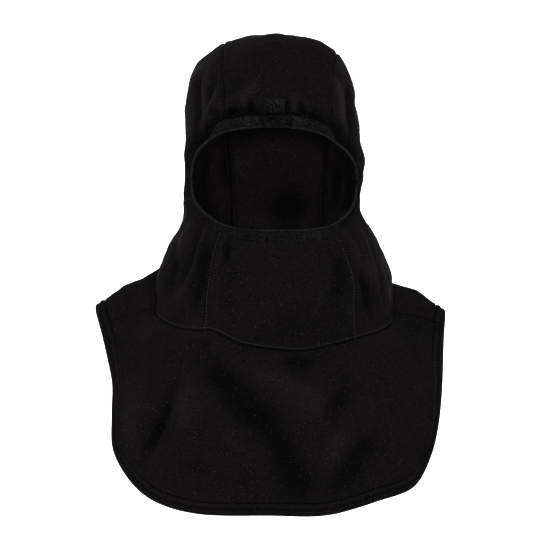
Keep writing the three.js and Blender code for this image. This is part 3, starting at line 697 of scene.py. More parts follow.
# Painted shade in the seam grooves outside and inside, and along the raised edges of the inner allowances
seam_dark, inner_seam_dark, allowance_dark = 0.45, 0.5, 0.45
for beside in beside_seams:
    cowl_shade *= 1 - seam_dark * bell(beside, 0.0011)
    cowl_inner_shade *= 1 - inner_seam_dark * bell(beside, 0.0012)
    cowl_inner_shade *= 1 - allowance_dark * bell(beside - allowance, 0.0010)
cowl_grids = (cowl_skin, cowl_inner, cowl_shade, cowl_inner_shade)
for node, first, last in cowl_panels:
    wanted = columns_between(first, last)
    piece = cloth_piece(node + "_cloth", *(grid[wanted] for grid in cowl_grids), knit)
    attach(piece, "root")
    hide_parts(node)

# Shoulder bib: a front and a back half of the same knit, joined by a seam over each shoulder and sewn to
# the neck along the yoke seam. It hangs free, and its outer edge is turned over into the hem.
bib_width = 0.378
bib_front = 0.142
bib_back = 0.136
bib_drop = 0.172
bib_swell = 0.012
hem_width = 0.0125
# Degrees from the front centre, hem's fall left and right, reach out left and right, depth, swell, as shares
hem_spokes = [
    (0, 1.018, 1.018, 0.000, 0.000, -1.000, 0.30),
    (15, 1.045, 1.005, 0.386, 0.320, -0.958, 0.30),
    (28, 1.055, 0.950, 0.630, 0.616, -0.845, 0.40),
    (38, 0.940, 0.900, 0.777, 0.806, -0.746, 0.50),
    (48, 0.760, 0.750, 0.884, 0.903, -0.630, 0.50),
    (58, 0.570, 0.580, 0.896, 0.949, -0.535, 0.40),
    (68, 0.400, 0.390, 0.896, 0.972, -0.437, 0.20),
    (78, 0.250, 0.200, 0.928, 0.981, -0.310, 0.00),
    (90, 0.120, 0.090, 0.963, 0.990, -0.162, 0.10),
    (102, 0.150, 0.110, 1.000, 1.003, 0.010, 0.25),
    (114, 0.240, 0.190, 1.005, 1.000, 0.200, 0.40),
    (126, 0.360, 0.310, 0.990, 0.988, 0.390, 0.50),
    (138, 0.630, 0.560, 0.935, 0.955, 0.575, 0.70),
    (148, 0.970, 0.910, 0.870, 0.890, 0.735, 0.80),
    (158, 1.290, 1.260, 0.740, 0.750, 0.870, 1.00),
    (168, 1.440, 1.430, 0.470, 0.470, 0.955, 1.00),
    (180, 1.480, 1.480, 0.000, 0.000, 1.000, 1.00),
]


def reach_back(row):
    return row[5] * (bib_front if row[5] < 0 else bib_back)


hem_fall = spoke_curve(hem_spokes, lambda row: row[1] * bib_drop, lambda row: row[2] * bib_drop)
hem_across = spoke_curve(hem_spokes, lambda row: -row[3] * bib_width / 2, lambda row: row[4] * bib_width / 2)
hem_depth = spoke_curve(hem_spokes, reach_back, reach_back)
swell_out = spoke_curve(hem_spokes, lambda row: row[6] * bib_swell, lambda row: row[6] * bib_swell)
bib_folds = [
    # start, middle, end, rise, width
    ((-71, -352), (-30, -396), (5, -427), -8.5, 16.5),
    ((5, -427), (19, -462), (32, -500), -8.0, 14.3),
    ((-33, -354), (10, -376), (43, -394), 6.0, 12.1),
    ((32, -376), (45, -403), (51, -435), 6.0, 14.3),
    ((86, -405), (73, -435), (60, -473), 6.5, 9.9),
    ((84, -376), (73, -397), (66, -419), -5.5, 11.0),
    ((110, -432), (91, -459), (70, -489), -7.0, 11.0),
    ((-106, -379), (-119, -419), (-138, -459), -7.5, 6.6),
    ((-141, -386), (-146, -414), (-151, -441), 5.0, 11.0),
    ((-81, -370), (-87, -403), (-92, -435), 5.5, 13.2),
    ((-87, -459), (-79, -465), (-71, -468), -3.0, 11.0),
    ((-46, -424), (-33, -446), (-9, -478), 5.0, 11.0),
    ((-19, -453), (-16, -459), (-13, -465), -2.5, 3.3),
    ((-92, -329), (-76, -333), (-63, -329), -3.2, 8.5),
    ((15, -351), (34, -355), (51, -351), -3.2, 9.0),
    ((104, -370), (108, -392), (111, -414), 2.0, 2.8),
    ((120, -386), (128, -419), (134, -455), 2.2, 2.4),
    ((147, -329), (159, -345), (170, -361), -3.0, 7.0),
]
bib_back_folds = [
    ((-60, -290), (-78, -370), (-104, -450), 6.1, 16.0),
    ((-20, -280), (-24, -370), (-34, -470), -5.8, 18.0),
    ((36, -284), (40, -370), (46, -460), 5.4, 15.0),
    ((84, -300), (104, -370), (122, -430), -5.0, 14.0),
    ((-110, -300), (-134, -350), (-148, -400), -4.3, 12.0),
]
bib_rows = 76
bib_shares = crowded(bib_rows)
ring = ring_angle(around)
yoke_line = cowl_point(yoke_at, yoke_angle)
hem_line = np.stack([hem_across(ring), hem_depth(ring), yoke_line[:, 2] - hem_fall(ring)], -1)
out_and_up = np.stack([np.cos(yoke_angle), np.sin(yoke_angle), np.ones(len(around))], -1)
edge_along = np.gradient(hem_line, axis=0)
edge_along /= np.linalg.norm(edge_along, axis=-1, keepdims=True)
edge_square = np.linalg.norm(np.cross(yoke_line - hem_line, edge_along), axis=-1)
hem_share = hem_width / edge_square


def bib_point(share):
    """Points of the bib at shares of the way from the yoke seam to the hem's edge, a row for each column."""
    share = share[..., None]
    swell = 4 * share * (1 - share) * swell_out(ring)[:, None, None]
    return yoke_line[:, None] * (1 - share) + hem_line[:, None] * share + out_and_up[:, None] * swell


cloth_shares = bib_shares * (1 - hem_share[:, None])
hem_rows = 14
hem_shares = 1 - hem_share[:, None] * np.linspace(1, 0, hem_rows)
both = np.concatenate([cloth_shares, hem_shares[:, 1:]], 1)
bib = bib_point(both)
from_yoke = along(bib, 1)
to_edge = from_yoke[:, -1:] - from_yoke
bib_lift = fold_lift(bib, bib_folds, True) + fold_lift(bib, bib_back_folds, False)
# The bib's folds painted paler on ridges and darker in valleys, with painted shade under the yoke seam's roll
# and in the groove along the hem
under_yoke_dark, by_hem_dark = 0.55, 0.75
bib_shade = painted_fold_shade(bib_lift, 0.0055) * (1 - under_yoke_dark * bell(from_yoke, 0.0022))
bib_shade *= 1 - by_hem_dark * bell(to_edge - hem_width - 0.0006, 0.0013)
bib_lift += 0.0012 * unevenness(bib, 0.11, 3) + 0.0003 * unevenness(bib, 0.03, 5)
bib_lift *= ease(0.001, 0.014, from_yoke) * ease(0.0, 0.030, to_edge)
shoulder_seams = (shoulder_seam_right, shoulder_seam_left, shoulder_seam_right + 360)
shoulder_swell, under_yoke_swell, bib_dip = 0.0006, 0.0004, 0.0010
for beside in from_seams(along(bib, 0), shoulder_seams):
    bib_lift += shoulder_swell * bell(beside - 0.0030, 0.0018) - bib_dip * bell(beside, 0.0009)
bib_lift += under_yoke_swell * bell(from_yoke - 0.0040, 0.0022) - bib_dip * bell(from_yoke, 0.0012)
bib_out = outward(bib)
join_ends(bib_out)
bib_surface = bib + bib_out * bib_lift[..., None]
bib_out = outward(bib_surface)
join_ends(bib_out)
under_hem = 4
bib_end = bib_rows + 1 + under_hem
bib_skin_out = bib_out[:, :bib_end]
press = 0.0010 * bell(to_edge - hem_width, 0.0012)[:, :bib_end]
bib_skin = bib_surface[:, :bib_end] - bib_skin_out * press[..., None]
bib_inner = bib_skin - bib_skin_out * fabric
bib_halves = [
    # node, from seam, to seam
    ("bib_front", shoulder_seam_left, shoulder_seam_right + 360),
    ("bib_back", shoulder_seam_right, shoulder_seam_left),
]
for node, first, last in bib_halves:
    wanted = columns_between(first, last)
    shade = bib_shade[wanted][:, :bib_end]
    piece = cloth_piece(node + "_cloth", bib_skin[wanted], bib_inner[wanted], shade, shade, knit)
    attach(piece, "root")
    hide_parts(node)

# Hem: the bib's edge turned over inwards twice and stitched down in two rows, so that it is double and
# puffs up between them
hem_profile = [
    # distance from the hem's inner side, height over the cloth's outer face, both in millimetres
    (0.1, -1.0), (0.3, -0.2), (0.9, 0.35), (1.3, 0.30), (1.8, 0.6), (3.4, 1.05), (5.2, 0.7), (5.8, 0.0),
    (6.3, -0.5), (6.8, 0.0), (7.4, 0.7), (9.0, 1.1), (10.8, 0.9), (12.0, 0.2), (12.45, -0.7), (12.0, -1.9),
    (10.8, -2.8), (9.0, -3.05), (7.4, -2.9), (6.3, -2.4), (5.2, -2.8), (3.4, -3.05), (1.8, -2.7),
    (0.9, -2.4), (0.3, -1.9),
]


def swept(name, rings, closed, shades, material):
    """Solid through a section of points at each of its places, joined into a ring or with capped ends."""
    places, size = rings.shape[:2]
    index = np.arange(places * size).reshape(places, size)
    here = index if closed else index[:-1]
    beyond = np.roll(index, -1, axis=0)[: len(here)]
    faces = np.stack([here, beyond, np.roll(beyond, -1, 1), np.roll(here, -1, 1)], -1).reshape(-1, 4)
    if not closed:
        low = np.arange(size - 2, size - 2 + size // 2) % size
        high = (2 * size - 5 - low) % size
        cap = np.stack([low[:-1], low[1:], high[1:], high[:-1]], -1)
        faces = np.concatenate([faces, index[0][cap], index[-1][cap[:, ::-1]]])
    points = rings.reshape(-1, 3)
    faces = facing_out(points, faces)
    uv = np.stack([along(rings, 0), along(rings, 1)], -1).reshape(-1, 2)
    return solid_mesh(name, points, faces, uv, shades.reshape(-1), material)


hem_base = bib_surface[:, bib_rows:]
hem_out = bib_out[:, bib_rows:]


def hem_point(distance, height):
    """Line of points along the hem, at a distance from its inner side and a height over the cloth."""
    row = np.clip(distance / hem_width * (hem_rows - 1), 0, hem_rows - 1.0001)
    low = int(row)
    base = hem_base[:, low] * (low + 1 - row) + hem_base[:, low + 1] * (row - low)
    out = hem_out[:, low] * (low + 1 - row) + hem_out[:, low + 1] * (row - low)
    return base + out * height, out


hem_rings = np.stack([hem_point(d * MM, h * MM)[0] for d, h in hem_profile], 1)[:-1]
# Painted highlight on the band puffed up between the stitch rows, and painted shade in its grooves
hem_grooves = (6.3, 0.3)
band_pale = 1.2
groove_dark = 0.8
from_groove = np.array([min(abs(d - groove) for groove in hem_grooves) for d, h in hem_profile])
hem_shade = np.tile(band_pale - groove_dark * bell(from_groove, 1.0), (len(hem_rings), 1))
hem = swept("bib_hem_cloth", hem_rings, True, hem_shade, knit)
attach(hem, "root")
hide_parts("bib_hem")

# With the hem sewn round them the bib's halves are whole, each a sheet of the knit with its flat size
bib_sheets = [
    # node, flat width and length, cut's area, hangs from, sewn to it
    ("bib_front", (0.410, 0.260), 0.070, ["chin_panel", "side_panel_left"], [hem]),
    ("bib_back", (0.410, 0.360), 0.092, ["crown_panel", "side_panel_right"], []),
]
for node, flat, area, above, sewn_on in bib_sheets:
    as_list(above)
    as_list(sewn_on)

# Elastic of the face opening: a flat woven tape, a cooler black than the knit, its inner edge rolled and
# its ends lapped and sewn under the chin
lap_start = 266.0
lap_end = 277.0
elastic_profile = [
    # distance from the rim and height over the tape's outer face, both in millimetres
    (-0.1, -0.8), (0.0, 0.0), (0.5, 0.55), (1.2, 0.65), (1.8, 0.2), (2.2, -0.45), (2.7, -0.1), (3.6, 0.0),
    (6.0, 0.1), (8.5, 0.1), (11.0, 0.0), (12.6, -0.1), (13.3, -0.35), (13.5, -0.8), (13.3, -1.3),
    (12.0, -1.6), (9.0, -1.6), (6.0, -1.6), (3.0, -1.6), (1.8, -1.9), (1.1, -2.2), (0.4, -2.0), (0.0, -1.5),
]
tape_around = np.linspace(seams[0], seams[-1], 841)[:-1]
tape_rim, tape_lay = elastic_strip(tape_around)
tape_middle = tape_rim + tape_lay * elastic_width / 2
tape_aside = np.roll(tape_middle, -1, 0) - np.roll(tape_middle, 1, 0)
tape_out = np.cross(tape_lay, tape_aside)
tape_out /= np.linalg.norm(tape_out, axis=-1, keepdims=True)
outside = np.stack([np.interp(tape_around, around, elastic_out[:, axis]) for axis in range(3)], -1)
tape_out *= np.sign((tape_out * outside).sum(-1, keepdims=True))
lap_step = 0.3
lapped = ease(lap_start - lap_step, lap_start + lap_step, tape_around)
lapped *= 1 - ease(lap_end - lap_step, lap_end + lap_step, tape_around)
tape_wave = 0.00025 * puckered(tape_around)


def tape_point(distance, height):
    """Line of points once around the elastic."""
    raised = height + (0.0007 * lapped if height > -0.0009 else 0)
    raised = raised + tape_wave * (distance / elastic_width) ** 2
    return tape_rim + tape_lay * distance + tape_out * np.reshape(raised, (-1, 1))


tape_black = (0.0, 0.0, 0.0)
tape_pale = (0.0276, 0.0262, 0.0268)
tape_share = 0.31
tape = bpy.data.materials.new("elastic_tape")
tape.use_nodes = True
weave_surface = tape.node_tree.nodes["Principled BSDF"]
dye = Dye(tape.node_tree)
tape_map = dye.node("ShaderNodeUVMap", {"uv_map": "cloth"}, {})
tape_axes = dye.node("ShaderNodeSeparateXYZ", {}, {"Vector": tape_map})
across_tape = Dye(tape.node_tree, tape_axes.socket.node.outputs["Y"])
along_tape = Dye(tape.node_tree, tape_axes.socket.node.outputs["X"])
cord_pitch, pick_pitch = 0.0021, 0.0014
cords = dye.node("ShaderNodeMath", {"operation": "SINE"}, {0: across_tape * (2 * math.pi / cord_pitch)})
picks = dye.node("ShaderNodeMath", {"operation": "SINE"}, {0: along_tape * (2 * math.pi / pick_pitch)})
tape_place = dye.node("ShaderNodeTexCoord", {}, {}, output="Object")
yarn = dye.node("ShaderNodeTexNoise", {}, {"Vector": tape_place, "Scale": 560.0, "Detail": 2.0})
# Shade from the mesh: on the elastic a paler rim, a darker stitch groove and patches; on the loop painted
# shadow in its slit and painted light on its top
rim_shade = dye.node("ShaderNodeAttribute", {"attribute_name": "shade"}, {}, output="Fac")
worn_tape = dye.node("ShaderNodeTexNoise", {}, {"Vector": tape_place, "Scale": 60.0, "Detail": 2.0})
yarn_depth, worn_depth, cord_depth, tape_darkest = 7.0, 1.2, 0.3, 0.15
tape_shade = 1 + (yarn - 0.5) * yarn_depth + (worn_tape - 0.5) * worn_depth + cords * cord_depth
tape_shade = dye.sum("MAXIMUM", tape_shade, tape_darkest) * rim_shade
woven = colour_of(dye, tape_shade * tape_share, tape_black, tape_pale)
tape.node_tree.links.new(woven.socket, weave_surface.inputs["Base Color"])
relief = dye.node(
    "ShaderNodeBump", {}, {"Strength": 0.5, "Distance": 0.0003, "Height": cords * 0.5 + picks * 0.3 + yarn}
)
tape.node_tree.links.new(relief.socket, weave_surface.inputs["Normal"])
weave_surface.inputs["Roughness"].default_value = 0.62
weave_surface.inputs["Specular IOR Level"].default_value = 0.05
weave_surface.inputs["Sheen Weight"].default_value = 0.01

tape_rings = np.stack([tape_point(d * MM, h * MM) for d, h in elastic_profile], 1)
rim_pale, groove_at_rim, groove_place = 1.9, 0.6, 2.3
from_rim = np.array([d for d, h in elastic_profile])
across_shade = 1 + rim_pale * bell(from_rim, 1.7, 6) - groove_at_rim * bell(from_rim - groove_place, 0.5)
tape_shade_along = np.tile(across_shade, (len(tape_rings), 1))
tape_patches = [
    # degrees around, half width, change of shade: rubbed pale beside the loop, painted shade right next to it
    (107, 6, 0.35), (72, 5, 0.45), (97, 2.2, -0.5), (79.5, 2.0, -0.45), (290, 8, 0.2), (250, 8, -0.2),
]
for degrees, half, change in tape_patches:
    tape_shade_along *= 1 + change * bell(tape_around - degrees, half, 4)[:, None]
elastic = swept("face_elastic_tape", tape_rings, True, tape_shade_along, tape)
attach(elastic, "root")
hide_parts("face_elastic")

# Pull loop: a short length of the same tape, folded double into a loop that stands above the elastic, its
# two ends laid on each other and box stitched to the elastic over the brow
loop_rise = 0.017
loop_opening = 0.007
loop_lean = math.tan(math.radians(9))
loop_tape = 0.0015
top_rim = elastic_strip(np.array([90.0]))[0]
loop_out = np.array([0.0, 0.0, 0.0])
loop_out[1:] = tape_out[np.argmin(np.abs(tape_around - 90))][1:]
loop_out /= np.linalg.norm(loop_out)
loop_up = np.cross([-1.0, 0.0, 0.0], loop_out)
loop_foot = np.array([face_shift, top_rim[0, 1], top_rim[0, 2]]) + loop_out * 0.0003
near_side, far_side = 0.0008, 0.0024
loop_path = [
    # out of the elastic, up along it: up the back layer, over the top and down the front layer
    (near_side, 0.0003),
    (near_side, 0.006),
    (near_side, elastic_width),
    (near_side, elastic_width + 0.4 * loop_rise),
    (near_side, elastic_width + 0.78 * loop_rise),
    (0.3 * loop_opening, elastic_width + 0.93 * loop_rise),
    (0.62 * loop_opening, elastic_width + 0.955 * loop_rise),
    (0.98 * loop_opening, elastic_width + 0.90 * loop_rise),
    (1.14 * loop_opening, elastic_width + 0.70 * loop_rise),
    (1.06 * loop_opening, elastic_width + 0.35 * loop_rise),
    (0.72 * loop_opening, elastic_width + 0.09 * loop_rise),
    (far_side + 0.0004, elastic_width - 0.0008),
    (far_side, elastic_width - 0.003),
    (far_side, 0.006),
    (far_side, 0.0003),
]
knots = np.linspace(0, 1, len(loop_path))
fine = np.linspace(0, 1, 90)
path = np.stack([curve(knots, places)(fine) for places in zip(*loop_path)], -1)
path[:, 0] += loop_lean * np.maximum(path[:, 1] - elastic_width, 0)
path_along = np.gradient(path, axis=0)
path_along /= np.linalg.norm(path_along, axis=-1, keepdims=True)
path_side = np.stack([path_along[:, 1], -path_along[:, 0]], -1)
half, thick, round_edge = loop_width / 2, loop_tape / 2, 0.0006
flat_side = np.linspace(-half + round_edge, half - round_edge, 9)
edge_side = [(half - 0.0001, thick * 0.6), (half, 0.0), (half - 0.0001, -thick * 0.6)]
rounded = [(x, -thick) for x in flat_side] + edge_side[::-1]
rounded += [(x, thick) for x in flat_side[::-1]] + [(-x, h) for x, h in edge_side]
section_x, section_h = np.array(rounded).T[..., None]
spot, side = path[:, None], path_side[:, None]
loop_rings = loop_foot + np.array([1.0, 0.0, 0.0]) * section_x
loop_rings = loop_rings + loop_out * (spot[..., :1] + side[..., :1] * section_h)
loop_rings += loop_up * (spot[..., 1:] + side[..., 1:] * section_h)
sway_most, sway_turn = 0.0009, 0.06
sway = np.interp(along(loop_rings, 0)[:, 0], [0.018, 0.032, 0.046], [0, 1, 0])[:, None]
loop_rings[..., 0] += sway * sway_most
loop_rings[..., 2] -= (loop_rings[..., 0] - face_shift) * sway_turn * sway

# The front layer bulges off the elastic over a slit painted dark as its shadow, and is flattened where it is
# sewn down; its top is painted paler as if lit from above, the sewn part a little darker
slit_middle, slit_half, slit_reach, slit_dark = elastic_width + 0.0015, 0.0013, 0.0088, 0.85
sewn_shade, top_shade = 0.9, 1.35
up = path[:, 1:]
slit = bell(up - slit_middle, slit_half, 4) * (np.abs(loop_rings[..., 0] - face_shift) < slit_reach)
loop_shade = sewn_shade + (top_shade - sewn_shade) * ease(elastic_width, elastic_width + 0.004, up)
loop_shade = loop_shade * (1 - slit_dark * slit)
pull_loop = swept("pull_loop_tape", loop_rings, False, loop_shade, tape)
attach(pull_loop, "root")
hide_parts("pull_loop")

# With the elastic and the loop sewn on the head's panels are whole, each a sheet of the knit with its flat size
cowl_sheets = [
    # node, flat width and length, cut's area, sewn to it
    ("crown_panel", (0.150, 0.500), 0.059, [elastic, pull_loop]),
    ("side_panel_left", (0.270, 0.300), 0.057, []),
    ("side_panel_right", (0.250, 0.290), 0.049, []),
    ("chin_panel", (0.180, 0.125), 0.0195, []),
]
for node, flat, area, sewn_on in cowl_sheets:
    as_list(sewn_on)

# Stitches: polyester thread in rows along every seam and hem and in the elastic, black on most rows, grey
# or tan where the looper thread shows
def thread(name, colour, roughness):
    made = bpy.data.materials.new(name)
    made.use_nodes = True
    shader = made.node_tree.nodes["Principled BSDF"]
    shader.inputs["Base Color"].default_value = (*colour, 1)
    shader.inputs["Roughness"].default_value = roughness
    shader.inputs["Specular IOR Level"].default_value = 0.3
    return made


thread_black = thread("thread_black", (0.0016, 0.0016, 0.0016), 0.6)
thread_grey = thread("thread_grey", (0.045, 0.043, 0.041), 0.55)
thread_tan = thread("thread_tan", (0.130, 0.100, 0.055), 0.55)
thread_brown = thread("thread_brown", (0.050, 0.041, 0.027), 0.55)


def stitch_tree():
    """Geometry nodes that lay one stitch after another along lines, each flat on the cloth."""
    tree = bpy.data.node_groups.new("stitch_rows", "GeometryNodeTree")
    tree.interface.new_socket("Lines", in_out="INPUT", socket_type="NodeSocketGeometry")
    for name in ("Pitch", "Length", "Width", "Height"):
        tree.interface.new_socket(name, in_out="INPUT", socket_type="NodeSocketFloat")
    tree.interface.new_socket("Thread", in_out="INPUT", socket_type="NodeSocketMaterial")
    tree.interface.new_socket("Stitches", in_out="OUTPUT", socket_type="NodeSocketGeometry")
    node = tree.nodes.new
    link = tree.links.new
    given, result = node("NodeGroupInput"), node("NodeGroupOutput")
    lines = node("GeometryNodeMeshToCurve")
    spaced = node("GeometryNodeResampleCurve")
    spaced.mode = "LENGTH"
    link(given.outputs["Lines"], lines.inputs["Mesh"])
    link(lines.outputs["Curve"], spaced.inputs["Curve"])
    link(given.outputs["Pitch"], spaced.inputs["Length"])
    tangent = node("GeometryNodeInputTangent")
    out = node("GeometryNodeInputNamedAttribute")
    out.data_type = "FLOAT_VECTOR"
    out.inputs["Name"].default_value = "out"
    turned = node("FunctionNodeAxesToRotation")
    turned.primary_axis, turned.secondary_axis = "X", "Z"
    link(tangent.outputs["Tangent"], turned.inputs["Primary Axis"])
    link(out.outputs["Attribute"], turned.inputs["Secondary Axis"])
    bead = node("GeometryNodeMeshUVSphere")
    bead.inputs["Segments"].default_value = 6
    bead.inputs["Rings"].default_value = 4
    bead.inputs["Radius"].default_value = 0.5
    size = node("ShaderNodeCombineXYZ")
    for socket, name in (("X", "Length"), ("Y", "Width"), ("Z", "Height")):
        link(given.outputs[name], size.inputs[socket])
    uneven = node("FunctionNodeRandomValue")
    uneven.data_type = "FLOAT"
    uneven.inputs["Min"].default_value = 0.85
    uneven.inputs["Max"].default_value = 1.1
    uneven.inputs["Seed"].default_value = 7
    scaled = node("ShaderNodeVectorMath")
    scaled.operation = "SCALE"
    link(size.outputs["Vector"], scaled.inputs[0])
    link(uneven.outputs["Value"], scaled.inputs["Scale"])
    laid = node("GeometryNodeInstanceOnPoints")
    link(spaced.outputs["Curve"], laid.inputs["Points"])
    link(bead.outputs["Mesh"], laid.inputs["Instance"])
    link(turned.outputs["Rotation"], laid.inputs["Rotation"])
    link(scaled.outputs["Vector"], laid.inputs["Scale"])
    real = node("GeometryNodeRealizeInstances")
    smooth = node("GeometryNodeSetShadeSmooth")
    dyed = node("GeometryNodeSetMaterial")
    link(laid.outputs["Instances"], smooth.inputs["Geometry"])
    link(smooth.outputs["Geometry"], real.inputs["Geometry"])
    link(real.outputs["Geometry"], dyed.inputs["Geometry"])
    link(given.outputs["Thread"], dyed.inputs["Material"])
    link(dyed.outputs["Geometry"], result.inputs["Stitches"])
    return tree


stitches = stitch_tree()


def stitch_rows(name, rows, pitch, length, width, height, material):
    """Stitches along rows, each a line of points with the direction out of the cloth at them."""
    points, outs, edges, count = [], [], [], 0
    for line_points, line_outs in rows:
        points.append(line_points)
        outs.append(line_outs)
        edges += [(count + k, count + k + 1) for k in range(len(line_points) - 1)]
        count += len(line_points)
    mesh = bpy.data.meshes.new(name + "_lines")
    mesh.from_pydata(np.concatenate(points).tolist(), edges, [])
    attribute = mesh.attributes.new("out", "FLOAT_VECTOR", "POINT")
    attribute.data.foreach_set("vector", np.concatenate(outs).astype(np.float32).reshape(-1))
    lines = bpy.data.objects.new(name + "_lines", mesh)
    bpy.context.scene.collection.objects.link(lines)
    modifier = lines.modifiers.new("stitches", "NODES")
    modifier.node_group = stitches
    wanted = {"Pitch": pitch, "Length": length, "Width": width, "Height": height, "Thread": material}
    for socket in stitches.interface.items_tree:
        if socket.name in wanted:
            modifier[socket.identifier] = wanted[socket.name]
    evaluated = lines.evaluated_get(bpy.context.evaluated_depsgraph_get())
    made = bpy.data.meshes.new_from_object(evaluated)
    made.name = name
    lines.modifiers.clear()
    bpy.data.objects.remove(lines)
    piece = bpy.data.objects.new(name, made)
    bpy.context.scene.collection.objects.link(piece)
    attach(piece, "root")
    return piece


def line_beside(points, outs, across, column, offset, lift):
    """Line down a grid at a distance to one side of a column."""
    wanted = across[column] + offset
    made, made_out = [], []
    for row in range(points.shape[1]):
        made.append([np.interp(wanted[row], across[:, row], points[:, row, k]) for k in range(3)])
        made_out.append([np.interp(wanted[row], across[:, row], outs[:, row, k]) for k in range(3)])
    made, made_out = np.array(made), np.array(made_out)
    return made + made_out * lift, made_out


def line_below(points, outs, down, distance, lift):
    """Line once around a grid at a distance down from its top."""
    columns = range(len(points))
    made, made_out = [
        np.array([[np.interp(distance, down[c], grid[c, :, k]) for k in range(3)] for c in columns])
        for grid in (points, outs)
    ]
    return made + made_out * lift, made_out


across_skin = along(cowl_skin, 0)
down_skin = along(cowl_skin, 1)
inner_out = -cowl_out
seam_rows, chin_tan, inner_dark, inner_tan = [], [], [], []
for seam in (crown_seam_right, crown_seam_left):
    for offset in (-0.0022, 0.0022):
        seam_rows.append(line_beside(cowl_skin, cowl_out, across_skin, seam_column[seam], offset, 0.0001))
for seam, side in ((chin_seam_left, 1), (chin_seam_right, -1)):
    chin_tan.append(line_beside(cowl_skin, cowl_out, across_skin, seam_column[seam], side * 0.0014, 0.0001))
    seam_rows.append(line_beside(cowl_skin, cowl_out, across_skin, seam_column[seam], side * -0.0014, 0.0001))
across_inner = along(cowl_inner, 0)
for seam in panel_seams:
    inner_dark.append(line_beside(cowl_inner, inner_out, across_inner, seam_column[seam], -0.0024, 0.0001))
    inner_tan.append(line_beside(cowl_inner, inner_out, across_inner, seam_column[seam], 0.0024, 0.0001))
stitch_rows("stitches_crown", seam_rows, 0.0028, 0.0021, 0.00055, 0.0005, thread_black)
stitch_rows("stitches_chin", chin_tan, 0.0034, 0.0017, 0.0008, 0.0006, thread_tan)
stitch_rows("stitches_inside_dark", inner_dark, 0.0028, 0.0020, 0.0007, 0.0005, thread_black)
stitch_rows("stitches_inside_tan", inner_tan, 0.0040, 0.0018, 0.0006, 0.0005, thread_brown)
to_yoke_skin = down_skin[:, -1:] - down_skin
yoke_rows = [line_below(cowl_skin[:, ::-1], cowl_out[:, ::-1], to_yoke_skin[:, ::-1], 0.0032, 0.0001)]
stitch_rows("stitches_yoke", yoke_rows, 0.0028, 0.0020, 0.0006, 0.0005, thread_grey)
yoke_low = [line_below(bib_skin, bib_skin_out, along(bib_skin, 1), 0.0022, 0.0001)]
stitch_rows("stitches_yoke_low", yoke_low, 0.0028, 0.0020, 0.0006, 0.0005, thread_black)
hem_seam_rows = []
for distance, height in ((0.0012, 0.0003), (0.0063, 0.0001)):
    line_points, line_outs = hem_point(distance, height)
    hem_seam_rows.append((line_points, line_outs))
stitch_rows("stitches_hem", hem_seam_rows, 0.0028, 0.0021, 0.0006, 0.0005, thread_black)
shoulder_rows = []
across_bib_skin = along(bib_skin, 0)
for seam in (shoulder_seam_left, shoulder_seam_right + 360):
    shoulder_rows.append(
        line_beside(bib_skin, bib_skin_out, across_bib_skin, seam_column[seam], -0.0022, 0.0001)
    )
stitch_rows("stitches_shoulder", shoulder_rows, 0.0028, 0.0020, 0.0006, 0.0005, thread_black)
rim_row = tape_point(0.0021, -0.0003)
tape_row = (np.concatenate([rim_row, rim_row[:1]]), np.concatenate([tape_out, tape_out[:1]]))
lap_rows = []
for degrees in (lap_start + 0.9, lap_start + 2.2, lap_end - 0.6):
    place = np.argmin(np.abs(tape_around - degrees))
    across = np.linspace(0.002, 0.0125, 6)[:, None]
    lap_line = tape_rim[place] + tape_lay[place] * across + tape_out[place] * 0.0008
    lap_rows.append((lap_line, np.tile(tape_out[place], (6, 1))))
stitch_rows("stitches_elastic", [tape_row] + lap_rows, 0.0026, 0.0020, 0.0007, 0.0006, thread_black)
box_half, box_low, box_high = 0.0092, 0.0022, 0.0118
box = [(-box_half, box_low), (box_half, box_low), (box_half, box_high), (-box_half, box_high)]
box += [box[0], box[2]]
front_face = far_side + loop_tape / 2 + 0.0001
box_line = np.array([loop_foot + np.array([x, 0, 0]) + loop_out * front_face + loop_up * y for x, y in box])
box_rows = [(box_line, np.tile(loop_out, (len(box), 1)))]
stitch_rows("stitches_pull_loop", box_rows, 0.0024, 0.0018, 0.0006, 0.0005, thread_black)

# Studio: a pale floor, a backdrop far behind lit white, soft lights at the sides, above and beside the
# camera, and the camera of the photograph
camera_shift = 0.00864
image_width = 557
pixel_size = 0.00108
camera = bpy.data.cameras.new("camera")
camera.sensor_width = 36.0
camera.lens = camera.sensor_width * viewing_distance / (image_width * pixel_size)
camera.clip_end = 100
eye = bpy.data.objects.new("camera", camera)
eye.location = (camera_shift, -viewing_distance, eye_height)
eye.rotation_euler = (math.radians(90), 0, 0)
bpy.context.scene.collection.objects.link(eye)
bpy.context.scene.camera = eye
bpy.context.scene.view_settings.view_transform = "Standard"


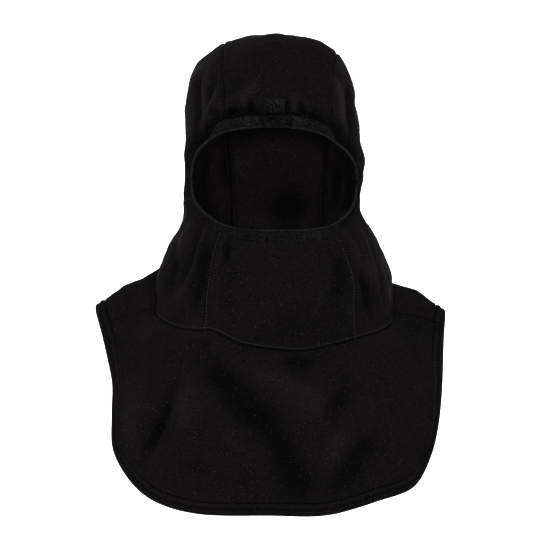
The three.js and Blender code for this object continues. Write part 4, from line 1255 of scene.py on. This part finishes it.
def stage_plane(name, corners, colour):
    mesh = bpy.data.meshes.new(name)
    mesh.from_pydata(corners, [], [(0, 1, 2, 3)])
    paint = bpy.data.materials.new(name)
    paint.use_nodes = True
    paint.node_tree.nodes["Principled BSDF"].inputs["Base Color"].default_value = (*colour, 1)
    paint.node_tree.nodes["Principled BSDF"].inputs["Roughness"].default_value = 1.0
    mesh.materials.append(paint)
    plane = bpy.data.objects.new(name, mesh)
    bpy.context.scene.collection.objects.link(plane)


floor_height = -1.12
backdrop_away = 7.5
stage_plane(
    "floor", [(-9, -9, floor_height), (9, -9, floor_height), (9, 9, floor_height), (-9, 9, floor_height)],
    (0.80, 0.80, 0.80),
)
stage_plane(
    "backdrop",
    [(x, backdrop_away, z) for x, z in ((-4, floor_height), (4, floor_height), (4, 4), (-4, 4))],
    (0.86, 0.86, 0.86),
)


def soft_light(name, place, target, width, height, power):
    light = bpy.data.lights.new(name, "AREA")
    light.shape = "RECTANGLE"
    light.size, light.size_y = width, height
    light.energy = power
    lamp = bpy.data.objects.new(name, light)
    lamp.location = place
    toward = Vector(target) - Vector(place)
    lamp.rotation_euler = toward.to_track_quat("-Z", "Y").to_euler()
    bpy.context.scene.collection.objects.link(lamp)


middle = (0, 0, -0.25)
soft_light("light_left", (-1.9, -0.3, 0.35), middle, 0.7, 1.2, 11)
soft_light("light_right", (1.9, -0.3, 0.45), middle, 0.7, 1.2, 7)
soft_light("light_above", (0.3, -0.9, 2.1), middle, 1.2, 0.8, 15)
soft_light("light_front_left", (-0.62, -4.5, -0.08), middle, 0.9, 0.6, 24)
soft_light("light_front_right", (0.62, -4.5, -0.08), middle, 0.9, 0.6, 24)
for name, aside in (("backdrop_light_left", -1), ("backdrop_light_right", 1)):
    place, target = (2.6 * aside, backdrop_away - 2.2, 0.4), (-0.6 * aside, backdrop_away, -0.3)
    soft_light(name, place, target, 1.0, 2.0, 260)
world = bpy.data.worlds.new("studio")
world.use_nodes = True
world.node_tree.nodes["Background"].inputs["Color"].default_value = (1, 1, 1, 1)
world.node_tree.nodes["Background"].inputs["Strength"].default_value = 0.09
bpy.context.scene.world = world
